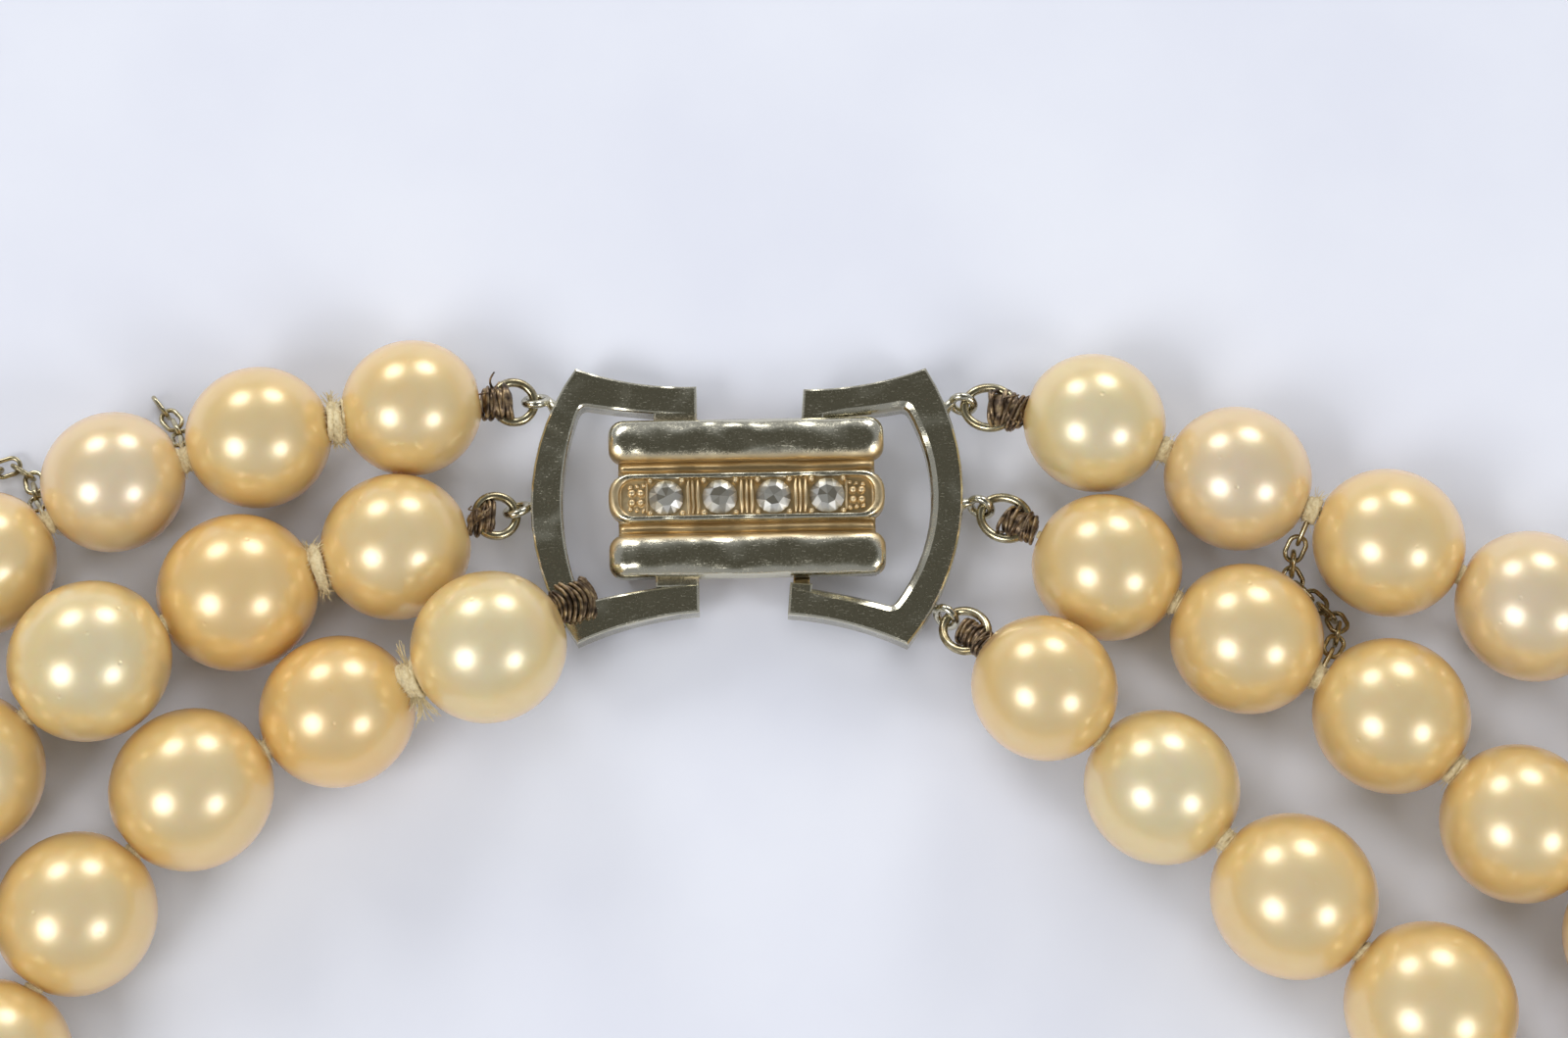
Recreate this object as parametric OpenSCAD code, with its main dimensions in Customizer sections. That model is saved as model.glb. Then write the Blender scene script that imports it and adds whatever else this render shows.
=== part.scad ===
// Three-strand pearl necklace with a bar clasp, lying on a flat surface.
// +X is right, +Y is towards the clasp, +Z is up, and the surface is z = 0.

/* [Pearls] */
// Diameter of the largest pearl, half way along each strand
pearl_d = 8.8; // [8.4:0.1:9.2]
// Bore drilled through each pearl
bore_d = 0.8; // [0.7:0.05:1]
// Silk thread that the pearls hang on
thread_d = 0.4; // [0.3:0.02:0.44]
// Knot between two pearls
knot_d = 1.0; // [0.9:0.05:1.2]
// Least space that a knot takes between two pearls
knot_gap = 0.35; // [0.3:0.01:0.5]
// Space between a knot and the pearl beside it
knot_clearance = 0.1; // [0.08:0.01:0.12]

/* [Loop] */
// How far the innermost strand bellies out past the end of the clasp
loop_side = 41; // [38:1:50]
// Half the height of the innermost strand's round stretch
loop_half_h = 78; // [70:1:90]
// Space between two strands side by side, on their round stretch
strand_gap = 0.7; // [0.5:0.1:1.5]

/* [Clasp plaque] */
// Length of the plaque of three bars
plaque_l = 14.1; // [13:0.1:15]
// Width of the upper and the lower bar
bar_w = 2.1; // [1.9:0.05:2.3]
// Width of the middle bar, which holds the stones
stone_bar_w = 2.6; // [2.5:0.05:2.8]
// Width of the groove between two bars
groove_w = 0.57; // [0.45:0.01:0.7]
// Height of the box under the bars
box_h = 2.95; // [2.9:0.05:3.3]
// How far the bars stand above the box
bar_rise = 0.75; // [0.65:0.05:0.85]
// Thickness of the plate under the tongue
floor_t = 0.55; // [0.45:0.05:0.6]
// Thickness of the tongue
tongue_t = 0.75; // [0.6:0.05:0.8]
// Space round the tongue in its slot
tongue_clearance = 0.25; // [0.2:0.05:0.3]
// Turn of the whole plaque, in degrees
plaque_turn = 1; // [0:0.1:1]
// Turn of the tongue half, which sits askew in its slot, in degrees
tongue_turn = -3.9; // [-4:0.1:-3]

/* [Clasp frames] */
// From the middle of the clasp to the outermost edge of a frame
frame_reach = 11.05; // [10.8:0.05:12]
// Width of a frame's bar
frame_bar = 1.62; // [1.5:0.02:1.7]
// Height of a frame's bar
frame_h = 1.6; // [1.4:0.1:1.8]
// Space between the plaque and a frame's arm
arm_gap = 0.41; // [0.4:0.01:0.6]
// From the middle of the clasp to the end of an arm
arm_end = 2.5; // [2.4:0.05:2.8]

/* [Stones] */
// Diameter of a diamond
stone_d = 1.8; // [1.6:0.05:1.85]
// Distance from one diamond to the next
stone_pitch = 2.74; // [2.65:0.02:2.8]
// Space between a diamond and its setting
stone_clearance = 0.06; // [0.05:0.01:0.08]

/* [Rings and wire] */
// Wire of a jump ring
ring_wire = 0.4; // [0.34:0.02:0.44]
// Outer diameter of a jump ring
ring_d = 2.56; // [2.5:0.02:2.8]
// How much longer than wide the right-hand jump rings are
ring_stretch = 0.5; // [0.3:0.05:0.6]
// Wire of an eyelet on a frame
eyelet_wire = 0.36; // [0.32:0.02:0.4]
// Outer diameter of an eyelet
eyelet_d = 1.5; // [1.46:0.02:1.6]
// Neck of solder between a frame and an eyelet
eyelet_neck = 0.35; // [0.25:0.05:0.5]
// Thickness of the wound wire round a ring
coil_t = 0.22; // [0.18:0.02:0.26]
// Space between metal pieces that are linked
link_clearance = 0.1; // [0.08:0.01:0.12]

/* [Safety chain] */
// Wire of a chain link
chain_wire = 0.24; // [0.2:0.01:0.25]
// Inner length of a chain link
chain_l = 1.1; // [1.05:0.01:1.15]
// Inner width of a chain link
chain_w = 0.62; // [0.6:0.01:0.7]
// Inner length of the long link that goes round a thread
hook_l = 2.1; // [2:0.05:2.3]

/* [Hidden] */

// Names of the strands, as rows of the tables below
OUTER = 0;
MIDDLE = 1;
INNER = 2;

// Chosen points of each strand's route, from the clasp outwards. A row is a point:
// [out from the clasp's end, towards the clasp's side, lift], as shares of the largest pearl.
ROUTE_LEFT = [
    [[0.69, 0.52, 0], [1.58, 0.34, 0], [2.41, 0.08, 0], [3.12, -0.38, 0]],
    [[0.77, -0.31, 0], [1.67, -0.58, 0], [2.48, -1.02, 0.21], [3.20, -1.65, 0.07]],
    [[0.20, -0.93, 0.23], [1.08, -1.27, 0], [1.91, -1.73, 0], [2.53, -2.42, 0], [2.97, -3.24, 0]]
];
ROUTE_RIGHT = [
    [[0.76, 0.43, 0], [1.58, 0.10, 0], [2.44, -0.28, 0], [3.25, -0.65, 0]],
    [[0.84, -0.44, 0], [1.64, -0.86, 0], [2.44, -1.30, 0], [3.16, -1.93, 0], [3.81, -2.55, 0]],
    [[0.46, -1.18, 0.2], [1.14, -1.73, 0], [1.88, -2.36, 0], [2.63, -2.99, 0]]
];

// Pearls next to the clasp. A row is a pearl: [diameter as a share of the largest pearl,
// space to the next pearl as a multiple of the knot's least space].
SIZES_LEFT = [
    [[0.80, 2.2], [0.83, 1.3], [0.82, 1.2], [0.84, 0.9]],
    [[0.85, 1.6], [0.91, 0.6], [0.92, 0.9], [0.92, 0.9]],
    [[0.875, 2.2], [0.88, 0.8], [0.93, 0.6], [0.925, 0.6], [0.925, 0.9]]
];
SIZES_RIGHT = [
    [[0.81, 1.6], [0.84, 2.3], [0.865, 0.6], [0.875, 0.9]],
    [[0.85, 1.0], [0.87, 1.3], [0.89, 1.3], [0.90, 0.9], [0.91, 0.9]],
    [[0.83, 0.6], [0.885, 1.3], [0.945, 0.6], [0.975, 0.9]]
];

// Bare thread between the wound wire and the first pearl, as a multiple of the ring's wire:
// [outer, middle, inner]
END_SPACE_LEFT = [0.25, 0.1, 1.5];
END_SPACE_RIGHT = [0.05, 0.65, 0.35];

// Centre of the round stretch, right of and below the middle of the clasp
LOOP_CENTRE = [3.5, -78];
// Angles of the round stretch's points, seen from its centre
LOOP_ANGLES = [for (a = [150 : 20 : 370]) a];
// Samples between two points of a route
ROUTE_STEPS = 12;

plaque_w = 2 * bar_w + stone_bar_w + 2 * groove_w;
arm_w = 0.94 * frame_bar;
arm_in = plaque_w / 2 + arm_gap;
arm_out = arm_in + arm_w;
// The frames stand a little proud of the box
frame_proud = 0.05;
frame_z = box_h - frame_h + frame_proud;
frame_mid_z = frame_z + frame_h / 2;
ring_r = (ring_d - ring_wire) / 2;
eyelet_r = (eyelet_d - eyelet_wire) / 2;
coil_bore_r = ring_wire / 2 + link_clearance;
coil_r = coil_bore_r + coil_t;
strand_pitch = pearl_d + strand_gap;

// The box lies in under the bars, with a slot for the tongue, which sits askew in it
box_inset = 0.65;
box_wall = 0.5;
askew_room = 0.15;
box_half_w = plaque_w / 2 - box_inset;
slot_half_w = box_half_w - box_wall;
tongue_half_w = slot_half_w - tongue_clearance - askew_room;
tongue_z = floor_t + tongue_clearance;
slot_top = tongue_z + tongue_t + tongue_clearance;
slot_depth = 1.5;
tongue_l = plaque_l / 2 - 1.2;
// The box and its underside along x, and the wings that carry the right frame
box_x = [-plaque_l / 2 + 0.7, arm_end - 0.3];
underside_end = plaque_l / 2 - 0.9;
wing_x = [arm_end + 0.15, arm_end + 1.0];
wing_y = [arm_in + 0.1, arm_in + 0.7];
// Plate under the bars, which sink into it
plate_end = 0.75;
plate_proud = 0.15;
bar_sink = 0.3;
rim_drop = 0.08;
// Solder that joins the left frame's arms to the box
solder_x = [-arm_end - 1.9, -arm_end - 0.1];
solder_inset = 0.2;

// A frame's side bows out between its corners, and its arms bow in a little
side_bow = 2.35;
arm_bow = 0.3;
hollow_bow = 0.12;
tip_x = frame_reach - side_bow;
// How far each corner rises past its arm, [upper, lower]
LEFT_RISE = [1.05, 1.5];
RIGHT_RISE = [1.55, 1.15];
// How far the corners of each frame's hollow lie in from the tips, as a share of the bar
LEFT_INSET = 0.15;
RIGHT_INSET = 0.55;
// How far they rise past the arms, as a share of the tips' rise
hollow_rise = 0.6;

// Stones sit in a channel along the middle bar
stone_count = 4;
channel_w = stone_d + 2 * stone_clearance;
channel_l = plaque_l - 2 * plate_end;
channel_depth = 0.42;
channel_z = box_h + bar_rise - rim_drop - channel_depth;
girdle_z = channel_z + stone_clearance;
seat_d = stone_d - 0.3;
seat_z = slot_top + 0.2;
prong_r = 0.17;

function unit(v) = v / norm(v);
function turned(p, a) = [p.x * cos(a) - p.y * sin(a), p.x * sin(a) + p.y * cos(a)];
function total(v) = [for (i = 0, s = 0; i <= len(v); s = s + (i < len(v) ? v[i] : 0), i = i + 1) s][len(v)];

// Points of an arc from a to b that bows out by sag on the left of the way, without b
function bow(a, b, sag, n = 14) =
    let (half = norm(b - a) / 2, mid = (a + b) / 2, left = [a.y - b.y, b.x - a.x] / (2 * half))
    let (r = (half * half + sag * sag) / (2 * abs(sag)), side = sign(sag))
    let (centre = mid - left * side * (r - abs(sag)), sweep = 2 * asin(half / r))
    [for (i = [0 : n - 1]) centre + turned(a - centre, -side * sweep * i / n)];

// Rectangle with round corners, lying on the origin
function round_box(l, w, r, n = 5) =
    [for (q = [0 : 3], i = [0 : n])
        let (a = 90 * (q + i / n), sx = (q == 0 || q == 3) ? 1 : -1, sy = q < 2 ? 1 : -1)
        [sx * (l / 2 - r) + r * cos(a), sy * (w / 2 - r) + r * sin(a)]];

// Outline of a frame as it lies on the left: its corners rise past the arms by rise, and its
// hollow's corners lie in by inset
function frame_outline(rise, inset) =
    let (corner_x = tip_x - inset * frame_bar)
    let (top = [-tip_x, arm_out + rise[0]], low = [-tip_x, -arm_out - rise[1]])
    let (low_end = [-arm_end, -arm_out], low_in = [-arm_end, -arm_in])
    let (low_corner = [-corner_x, -arm_in - hollow_rise * rise[1]])
    let (top_corner = [-corner_x, arm_in + hollow_rise * rise[0]])
    let (top_in = [-arm_end, arm_in], top_end = [-arm_end, arm_out])
    concat(
        bow(top, low, -side_bow),
        bow(low, low_end, arm_bow),
        [low_end],
        bow(low_in, low_corner, -hollow_bow),
        bow(low_corner, top_corner, frame_reach - frame_bar - corner_x),
        bow(top_corner, top_in, -hollow_bow),
        [top_in],
        bow(top_end, top, arm_bow)
    );

// Centre of a frame's bowed side, and where that side is at height y
function side_centre(rise) =
    let (half = arm_out + (rise[0] + rise[1]) / 2)
    [-frame_reach + (half * half + side_bow * side_bow) / (2 * side_bow), (rise[0] - rise[1]) / 2];
function side_point(rise, y) =
    let (c = side_centre(rise), r = frame_reach + c.x)
    [c.x - sqrt(r * r - (y - c.y) * (y - c.y)), y];

// Eyelets in the order of the strands: [height as a share of the arm's, neck as a multiple]
EYELETS_LEFT = [[0.92, 1.5], [-0.04, 0.4]];
EYELETS_RIGHT = [[0.99, 1.3], [0.09, 1.0], [-0.90, 0.6]];
function left_eyelet(row) =
    let (p = side_point(LEFT_RISE, row[0] * arm_out))
    let (q = turned([p.x - eyelet_r - row[1] * eyelet_neck, p.y], plaque_turn))
    [q.x, q.y, frame_mid_z];
function right_eyelet(row) =
    let (p = side_point(RIGHT_RISE, row[0] * arm_out))
    let (q = turned([-p.x + eyelet_r + row[1] * eyelet_neck, p.y], tongue_turn))
    [q.x, q.y, frame_mid_z];

// A point of a route from its row in a table: side is -1 for left and 1 for right
function route_point(row, side) =
    [side * (frame_reach + row[0] * pearl_d), row[1] * pearl_d, row[2] * pearl_d];
function first_pearl(k, side) =
    let (rows = side < 0 ? ROUTE_LEFT : ROUTE_RIGHT, sizes = side < 0 ? SIZES_LEFT : SIZES_RIGHT)
    route_point(rows[k][0], side) + [0, 0, sizes[k][0][0] * pearl_d / 2];

// The innermost strand's left end is bound to the frame's lower corner itself
LOOP_SPOT_Y = -0.9 * arm_out;
loop_half = frame_bar / 2 + 0.48;
wrap_half_h = frame_h / 2 + 0.18;
loop_w = 1.35;
function loop_out() = unit(side_point(LEFT_RISE, LOOP_SPOT_Y) - side_centre(LEFT_RISE));
function loop_spot() =
    let (p = turned(side_point(LEFT_RISE, LOOP_SPOT_Y) - loop_out() * frame_bar / 2, plaque_turn))
    [p.x, p.y, frame_mid_z];
function loop_way() =
    let (v = first_pearl(INNER, -1) - loop_spot(), out = turned(loop_out(), plaque_turn))
    unit(unit([v.x, v.y, 0]) + [out.x, out.y, 0]);

// Middle of the eyelet that holds strand k at one side
function eyelet(k, side) =
    side < 0 ? left_eyelet(EYELETS_LEFT[k]) : right_eyelet(EYELETS_RIGHT[k]);
function way_out(k, side) = unit(first_pearl(k, side) - eyelet(k, side));

// A jump ring hangs against the outer end of its eyelet
ring_slip = eyelet_r - (eyelet_wire + ring_wire) / 2 - link_clearance;
function ring_half(side) = ring_r + (side > 0 ? ring_stretch / 2 : 0);
function ring_centre(k, side) = eyelet(k, side) + way_out(k, side) * (ring_slip + ring_half(side));

// Where the wound wire of strand k sits, which is the end of the strand's route
function anchor(k, side) =
    (k == INNER && side < 0)
        ? loop_spot() + loop_way() * (loop_half + coil_t / 2)
        : ring_centre(k, side) + way_out(k, side) * ring_half(side);
// From the wound wire to the middle of the first pearl
function end_reach(k, side) =
    let (d = (side < 0 ? SIZES_LEFT : SIZES_RIGHT)[k][0][0] * pearl_d)
    let (space = (side < 0 ? END_SPACE_LEFT : END_SPACE_RIGHT)[k] * ring_wire)
    coil_r + link_clearance + space + d / 2;

// Points of strand k's route, from its left end to its right end, with the lift as z
function route_points(k) =
    let (a = frame_reach + loop_side + (INNER - k) * strand_pitch)
    let (b = loop_half_h + (INNER - k) * strand_pitch)
    let (n = len(ROUTE_RIGHT[k]), l = anchor(k, -1), r = anchor(k, 1))
    concat(
        [[l.x, l.y, ROUTE_LEFT[k][0][2] * pearl_d]],
        [for (row = ROUTE_LEFT[k]) route_point(row, -1)],
        [for (t = LOOP_ANGLES) [LOOP_CENTRE.x + a * cos(t), LOOP_CENTRE.y + b * sin(t), 0]],
        [for (i = [n - 1 : -1 : 0]) route_point(ROUTE_RIGHT[k][i], 1)],
        [[r.x, r.y, ROUTE_RIGHT[k][0][2] * pearl_d]]
    );

// Smooth curve through points, as samples
function speed(p, q, r) =
    let (d = norm(q - p), e = norm(r - q))
    (q - p) / d - (r - p) / (d + e) + (r - q) / e;
function smooth(pts, steps) =
    let (n = len(pts))
    concat(
        [for (i = [0 : n - 2], s = [0 : steps - 1])
            let (p = pts[i], q = pts[i + 1], d = norm(q - p), t = s / steps)
            let (m = (i == 0 ? (q - p) / d : speed(pts[i - 1], p, q)) * d)
            let (o = (i == n - 2 ? (q - p) / d : speed(p, q, pts[i + 2])) * d)
            (2 * pow(t, 3) - 3 * t * t + 1) * p + (pow(t, 3) - 2 * t * t + t) * m
                + (3 * t * t - 2 * pow(t, 3)) * q + (pow(t, 3) - t * t) * o],
        [pts[n - 1]]
    );
function lengths(path) =
    [for (i = 0, s = 0; i < len(path);
        i = i + 1, s = s + (i < len(path) ? norm(path[i] - path[i - 1]) : 0)) s];

// Walk along a path whose z is a lift: the next centre lies at distance t from centre c.
// A stop is [sample number, centre, way gone along the path].
function at_height(p, r) = [p.x, p.y, max(0, p.z) + r];
function seek(path, j, c, t, r) =
    (j >= len(path) - 1 || norm(at_height(path[j], r) - c) >= t) ? j : seek(path, j + 1, c, t, r);
function next_stop(path, way, stop, t, r) =
    let (j = seek(path, stop[0] + 1, stop[1], t, r))
    let (p = at_height(path[j - 1], r), q = at_height(path[j], r))
    let (dp = norm(p - stop[1]), dq = norm(q - stop[1]), f = (t - dp) / (dq - dp))
    [max(stop[0], j - 1), p + (q - p) * f, way[j - 1] + f * (way[j] - way[j - 1])];

// Diameter of pearl i of n on strand k, and the space after it
function pearl_share(k, i, n) =
    let (left = SIZES_LEFT[k], right = SIZES_RIGHT[k], j = n - 1 - i)
    let (m = i <= j ? len(left) : len(right), e = min(i, j))
    let (last = i <= j ? left[m - 1][0] : right[m - 1][0])
    i < len(left) ? left[i][0]
        : j < len(right) ? right[j][0]
        : last + (1 - last) * sin(90 * (e + 1 - m) / ((n + 1) / 2 - m));
function diameters(k, n) = [for (i = [0 : n - 1]) pearl_d * pearl_share(k, i, n)];
function gaps(k, n, free) =
    let (left = SIZES_LEFT[k], right = SIZES_RIGHT[k])
    [for (i = [0 : n - 2])
        let (j = n - 2 - i)
        i < len(left) ? left[i][1] * knot_gap : j < len(right) ? right[j][1] * knot_gap : free];
function free_gap(k, n, room) =
    let (d = diameters(k, n), set = total(gaps(k, n, 0)))
    let (count = n - 1 - len(SIZES_LEFT[k]) - len(SIZES_RIGHT[k]))
    (room - total(d) + (d[0] + d[n - 1]) / 2 - set) / count;

// All stops of strand k for n pearls and a given free gap
function stops(k, n, free, path, way) =
    let (d = diameters(k, n), g = gaps(k, n, free), a = anchor(k, -1))
    let (first = next_stop(path, way, [0, a, 0], end_reach(k, -1), d[0] / 2))
    [for (i = 0, s = first; i < n;
        i = i + 1,
        s = i < n ? next_stop(path, way, s, (d[i - 1] + d[i]) / 2 + g[i - 1], d[i] / 2) : s) s];

// Pearls of strand k: [centres, diameters, gaps], evenly spread between the two ends
function strand(k) =
    let (path = smooth(route_points(k), ROUTE_STEPS), way = lengths(path), m = len(path) - 1)
    let (start = end_reach(k, -1), stop = way[m] - end_reach(k, 1))
    let (n = max([for (c = [20 : 90]) if (free_gap(k, c, stop - start) >= knot_gap) c]))
    let (count = n - 1 - len(SIZES_LEFT[k]) - len(SIZES_RIGHT[k]))
    let (g0 = free_gap(k, n, stop - start))
    let (g1 = g0 + (stop_way(k, way, path) - stops(k, n, g0, path, way)[n - 1][2]) / count)
    let (g2 = g1 + (stop_way(k, way, path) - stops(k, n, g1, path, way)[n - 1][2]) / count)
    [[for (s = stops(k, n, g2, path, way)) s[1]], diameters(k, n), gaps(k, n, g2)];
// Way along the path at which the last pearl of strand k lies
function stop_way(k, way, path) =
    let (d = SIZES_RIGHT[k][0][0] * pearl_d, a = anchor(k, 1), m = len(path) - 1)
    let (reach = end_reach(k, 1))
    let (j = seek_back(path, m - 1, a, reach, d / 2))
    let (p = at_height(path[j + 1], d / 2), q = at_height(path[j], d / 2))
    let (f = (reach - norm(p - a)) / (norm(q - a) - norm(p - a)))
    way[j + 1] + f * (way[j] - way[j + 1]);
function seek_back(path, j, c, t, r) =
    (j <= 0 || norm(at_height(path[j], r) - c) >= t) ? j : seek_back(path, j - 1, c, t, r);

STRANDS = [strand(OUTER), strand(MIDDLE), strand(INNER)];

// Direction of the thread after pearl i of strand k; number -1 is the stretch before the first
function thread_way(k, i) =
    let (c = STRANDS[k][0], n = len(c))
    i < 0 ? unit(c[0] - anchor(k, -1)) : i > n - 2 ? unit(anchor(k, 1) - c[n - 1]) : unit(c[i + 1] - c[i]);
// Middle of the space between pearls i and i + 1 of strand k, on the thread
function knot_point(k, i) =
    let (s = STRANDS[k])
    s[0][i] + thread_way(k, i) * (s[1][i] + s[2][i]) / 2;

// The origin is the middle of the whole loop, on the surface
function reach_of(axis, side) =
    max([for (s = STRANDS, i = [0 : len(s[0]) - 1]) side * s[0][i][axis] + s[1][i] / 2]);
ORIGIN = [
    (reach_of(0, 1) - reach_of(0, -1)) / 2,
    (reach_of(1, 1) - reach_of(1, -1)) / 2,
    0
];

// Spaces between pearls where a safety chain goes round the thread: [strand, number]
CHAIN_LEFT_SPOT = [OUTER, 1];
CHAIN_EDGE_SPOT = [OUTER, 2];
CHAIN_RIGHT_SPOTS = [
    [OUTER, len(STRANDS[OUTER][0]) - 3],
    [MIDDLE, len(STRANDS[MIDDLE][0]) - 3]
];
CHAIN_SPOTS = concat([CHAIN_LEFT_SPOT, CHAIN_EDGE_SPOT], CHAIN_RIGHT_SPOTS);

chain_pitch = chain_l - link_clearance;
// From a thread to the middle of its long link, and to the first plain link
hook_in = hook_l / 2 - thread_d / 2 - link_clearance;
// Least height of a link's middle, which leaves it clear of the surface
chain_low = chain_w / 2 + chain_wire + 0.06;
chain_slack = 0.04;
// Headings of the plain links from a long link to a broken end, in degrees from +X
CHAIN_LEFT_HEADINGS = [110, 118, 132, 128];
CHAIN_EDGE_HEADINGS = [118, 108, 104, 148, 198, 206, 203, 200];

// Put children with their x axis along x and their z axis along n, at p
module place(p, x, n) {
    y = cross(n, x);
    multmatrix([
        [x.x, y.x, n.x, p.x],
        [x.y, y.y, n.y, p.y],
        [x.z, y.z, n.z, p.z],
        [0, 0, 0, 1]
    ]) children();
}

// Put children with their z axis along w, at p
module along(p, w) {
    translate(p) rotate([0, acos(w.z), atan2(w.y, w.x)]) children();
}

module at_origin() {
    translate(-ORIGIN) children();
}

module torus(r, wire) {
    rotate_extrude($fn = 40) translate([r, 0]) circle(d = wire, $fn = 20);
}

// An oval of wire in the x-y plane: two half rounds of radius r, a straight stretch apart
module oval(r, wire, straight) {
    for (s = [-1, 1]) {
        translate([s * straight / 2, 0, 0]) rotate([0, 0, -90 * s])
            rotate_extrude(angle = 180, $fn = 40)
                translate([r, 0]) circle(d = wire, $fn = 20);
        translate([-straight / 2, s * r, 0]) rotate([0, 90, 0])
            cylinder(d = wire, h = straight, $fn = 20);
    }
}

// Slab with a given outline, from z = low to z = high
module slab(outline, low, high) {
    translate([0, 0, low]) linear_extrude(high - low) polygon(outline);
}

module block(x, y, z) {
    translate([x[0], y[0], z[0]]) cube([x[1] - x[0], y[1] - y[0], z[1] - z[0]]);
}

// A half-round bar along x with blunt round ends
module half_round_bar(w) {
    crown_r = 0.65 * w;
    intersection() {
        slab(round_box(plaque_l, w, 0.4 * w), box_h - bar_sink, box_h + bar_rise);
        translate([-plaque_l, 0, box_h + bar_rise - crown_r])
            rotate([0, 90, 0]) cylinder(r = crown_r, h = 2 * plaque_l, $fn = 64);
    }
}

function stone_x(i) = (i - (stone_count - 1) / 2) * stone_pitch;
module stone_seats() {
    for (i = [0 : stone_count - 1])
        translate([stone_x(i), 0, seat_z]) cylinder(d = seat_d, h = box_h, $fn = 32);
}

// The middle bar: a rim round a sunk channel, with a seat under each stone
module stone_bar() {
    difference() {
        slab(
            round_box(plaque_l, stone_bar_w, 0.45 * stone_bar_w),
            box_h - bar_sink,
            box_h + bar_rise - rim_drop
        );
        slab(round_box(channel_l, channel_w, 0.3 * channel_w), channel_z, box_h + 2 * bar_rise);
        stone_seats();
    }
    stone_beads();
}

// Beads that hold the stones, and the slotted bars between two stones
module stone_beads() {
    bead_x = stone_d / 2 * 0.72 + prong_r;
    for (i = [0 : stone_count - 1], sx = [-1, 1], sy = [-1, 1])
        translate([stone_x(i) + sx * bead_x, sy * (channel_w / 2 - prong_r * 0.6), channel_z])
            cylinder(r = prong_r, h = channel_depth * 0.75, $fn = 24);
    for (sx = [-1, 1], sy = [-1, 1], n = [0, 1])
        translate([sx * (stone_x(stone_count - 1) + bead_x + 0.42 + n * 0.5), sy * 0.42, channel_z])
            sphere(r = 0.21, $fn = 32);
    for (i = [0 : stone_count - 2], s = [-1, 1])
        translate([(stone_x(i) + stone_x(i + 1)) / 2 + s * 0.16, 0, channel_z + 0.1])
            cube([0.14, channel_w * 0.8, 0.5], center = true);
}

// Plaque, box and left frame, soldered together
module clasp_box() {
    bar_y = (plaque_w - bar_w) / 2;
    groove_y = (stone_bar_w + groove_w) / 2;
    color("#b9b39a") at_origin() {
        rotate([0, 0, plaque_turn]) {
            difference() {
                union() {
                    slab(
                        round_box(plaque_l - 2 * plate_end, plaque_w - 0.1, 0.3),
                        slot_top,
                        box_h + plate_proud
                    );
                    block(box_x, [-box_half_w, box_half_w], [0, box_h]);
                    block([0, underside_end], [-slot_half_w, slot_half_w], [0, floor_t]);
                }
                block(
                    [-slot_depth, plaque_l],
                    [-slot_half_w, slot_half_w],
                    [floor_t, slot_top]
                );
                for (s = [-1, 1])
                    translate([-plaque_l, s * groove_y, box_h + plate_proud])
                        rotate([0, 90, 0]) cylinder(d = groove_w, h = 2 * plaque_l, $fn = 32);
                stone_seats();
            }
            for (s = [-1, 1])
                translate([0, s * bar_y, 0]) half_round_bar(bar_w);
            stone_bar();
            slab(frame_outline(LEFT_RISE, LEFT_INSET), frame_z, frame_z + frame_h);
            for (s = [-1, 1])
                block(
                    solder_x,
                    s > 0
                        ? [box_half_w - solder_inset, arm_in + solder_inset]
                        : [-arm_in - solder_inset, -box_half_w + solder_inset],
                    [frame_z + solder_inset, frame_z + frame_h - solder_inset]
                );
        }
        for (k = [OUTER, MIDDLE])
            eyelet_ring(eyelet(k, -1), way_out(k, -1));
    }
}

// A small ring that stands on edge towards way, on a neck from the middle of the frame's bar
module eyelet_ring(p, way) {
    level = unit([way.x, way.y, 0]);
    root = p - unit([p.x, p.y, 0]) * (eyelet_r + eyelet_neck + frame_bar / 2);
    back = p - level * eyelet_r;
    place(p, level, cross(level, [0, 0, 1])) torus(eyelet_r, eyelet_wire);
    along(root, unit(back - root)) cylinder(d = eyelet_wire * 1.3, h = norm(back - root), $fn = 24);
}

// Tongue and right frame, soldered together and turned a little in the slot
module clasp_tongue() {
    color("#b9b39a") at_origin() {
        rotate([0, 0, tongue_turn]) {
            mirror([1, 0, 0])
                slab(frame_outline(RIGHT_RISE, RIGHT_INSET), frame_z, frame_z + frame_h);
            block(
                [-slot_depth + 2 * tongue_clearance, tongue_l],
                [-tongue_half_w, tongue_half_w],
                [tongue_z, tongue_z + tongue_t]
            );
            block(wing_x, [-wing_y[1], wing_y[1]], [tongue_z, tongue_z + tongue_t]);
            for (s = [-1, 1])
                block(wing_x, s > 0 ? wing_y : [-wing_y[1], -wing_y[0]], [tongue_z, frame_mid_z]);
        }
        for (k = [OUTER, MIDDLE, INNER])
            eyelet_ring(eyelet(k, 1), way_out(k, 1));
    }
}

// A round stone with a table, a faceted crown and a faceted pavilion
module diamond(i) {
    crown_h = 0.3;
    pavilion_h = 0.78;
    girdle_h = 0.06;
    table_r = stone_d * 0.29;
    color("#eef2f5") at_origin() rotate([0, 0, plaque_turn]) translate([stone_x(i), 0, girdle_z]) {
        intersection() {
            translate([0, 0, girdle_h]) cylinder(r1 = stone_d / 2, r2 = table_r, h = crown_h, $fn = 8);
            translate([0, 0, girdle_h]) rotate([0, 0, 22.5])
                cylinder(r1 = stone_d / 2, r2 = table_r * 1.25, h = crown_h, $fn = 8);
        }
        cylinder(d = stone_d * 0.94, h = girdle_h, $fn = 8);
        translate([0, 0, -pavilion_h])
            cylinder(r1 = 0.02, r2 = (stone_d - 0.5) / 2, h = pavilion_h, $fn = 8);
    }
}

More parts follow.
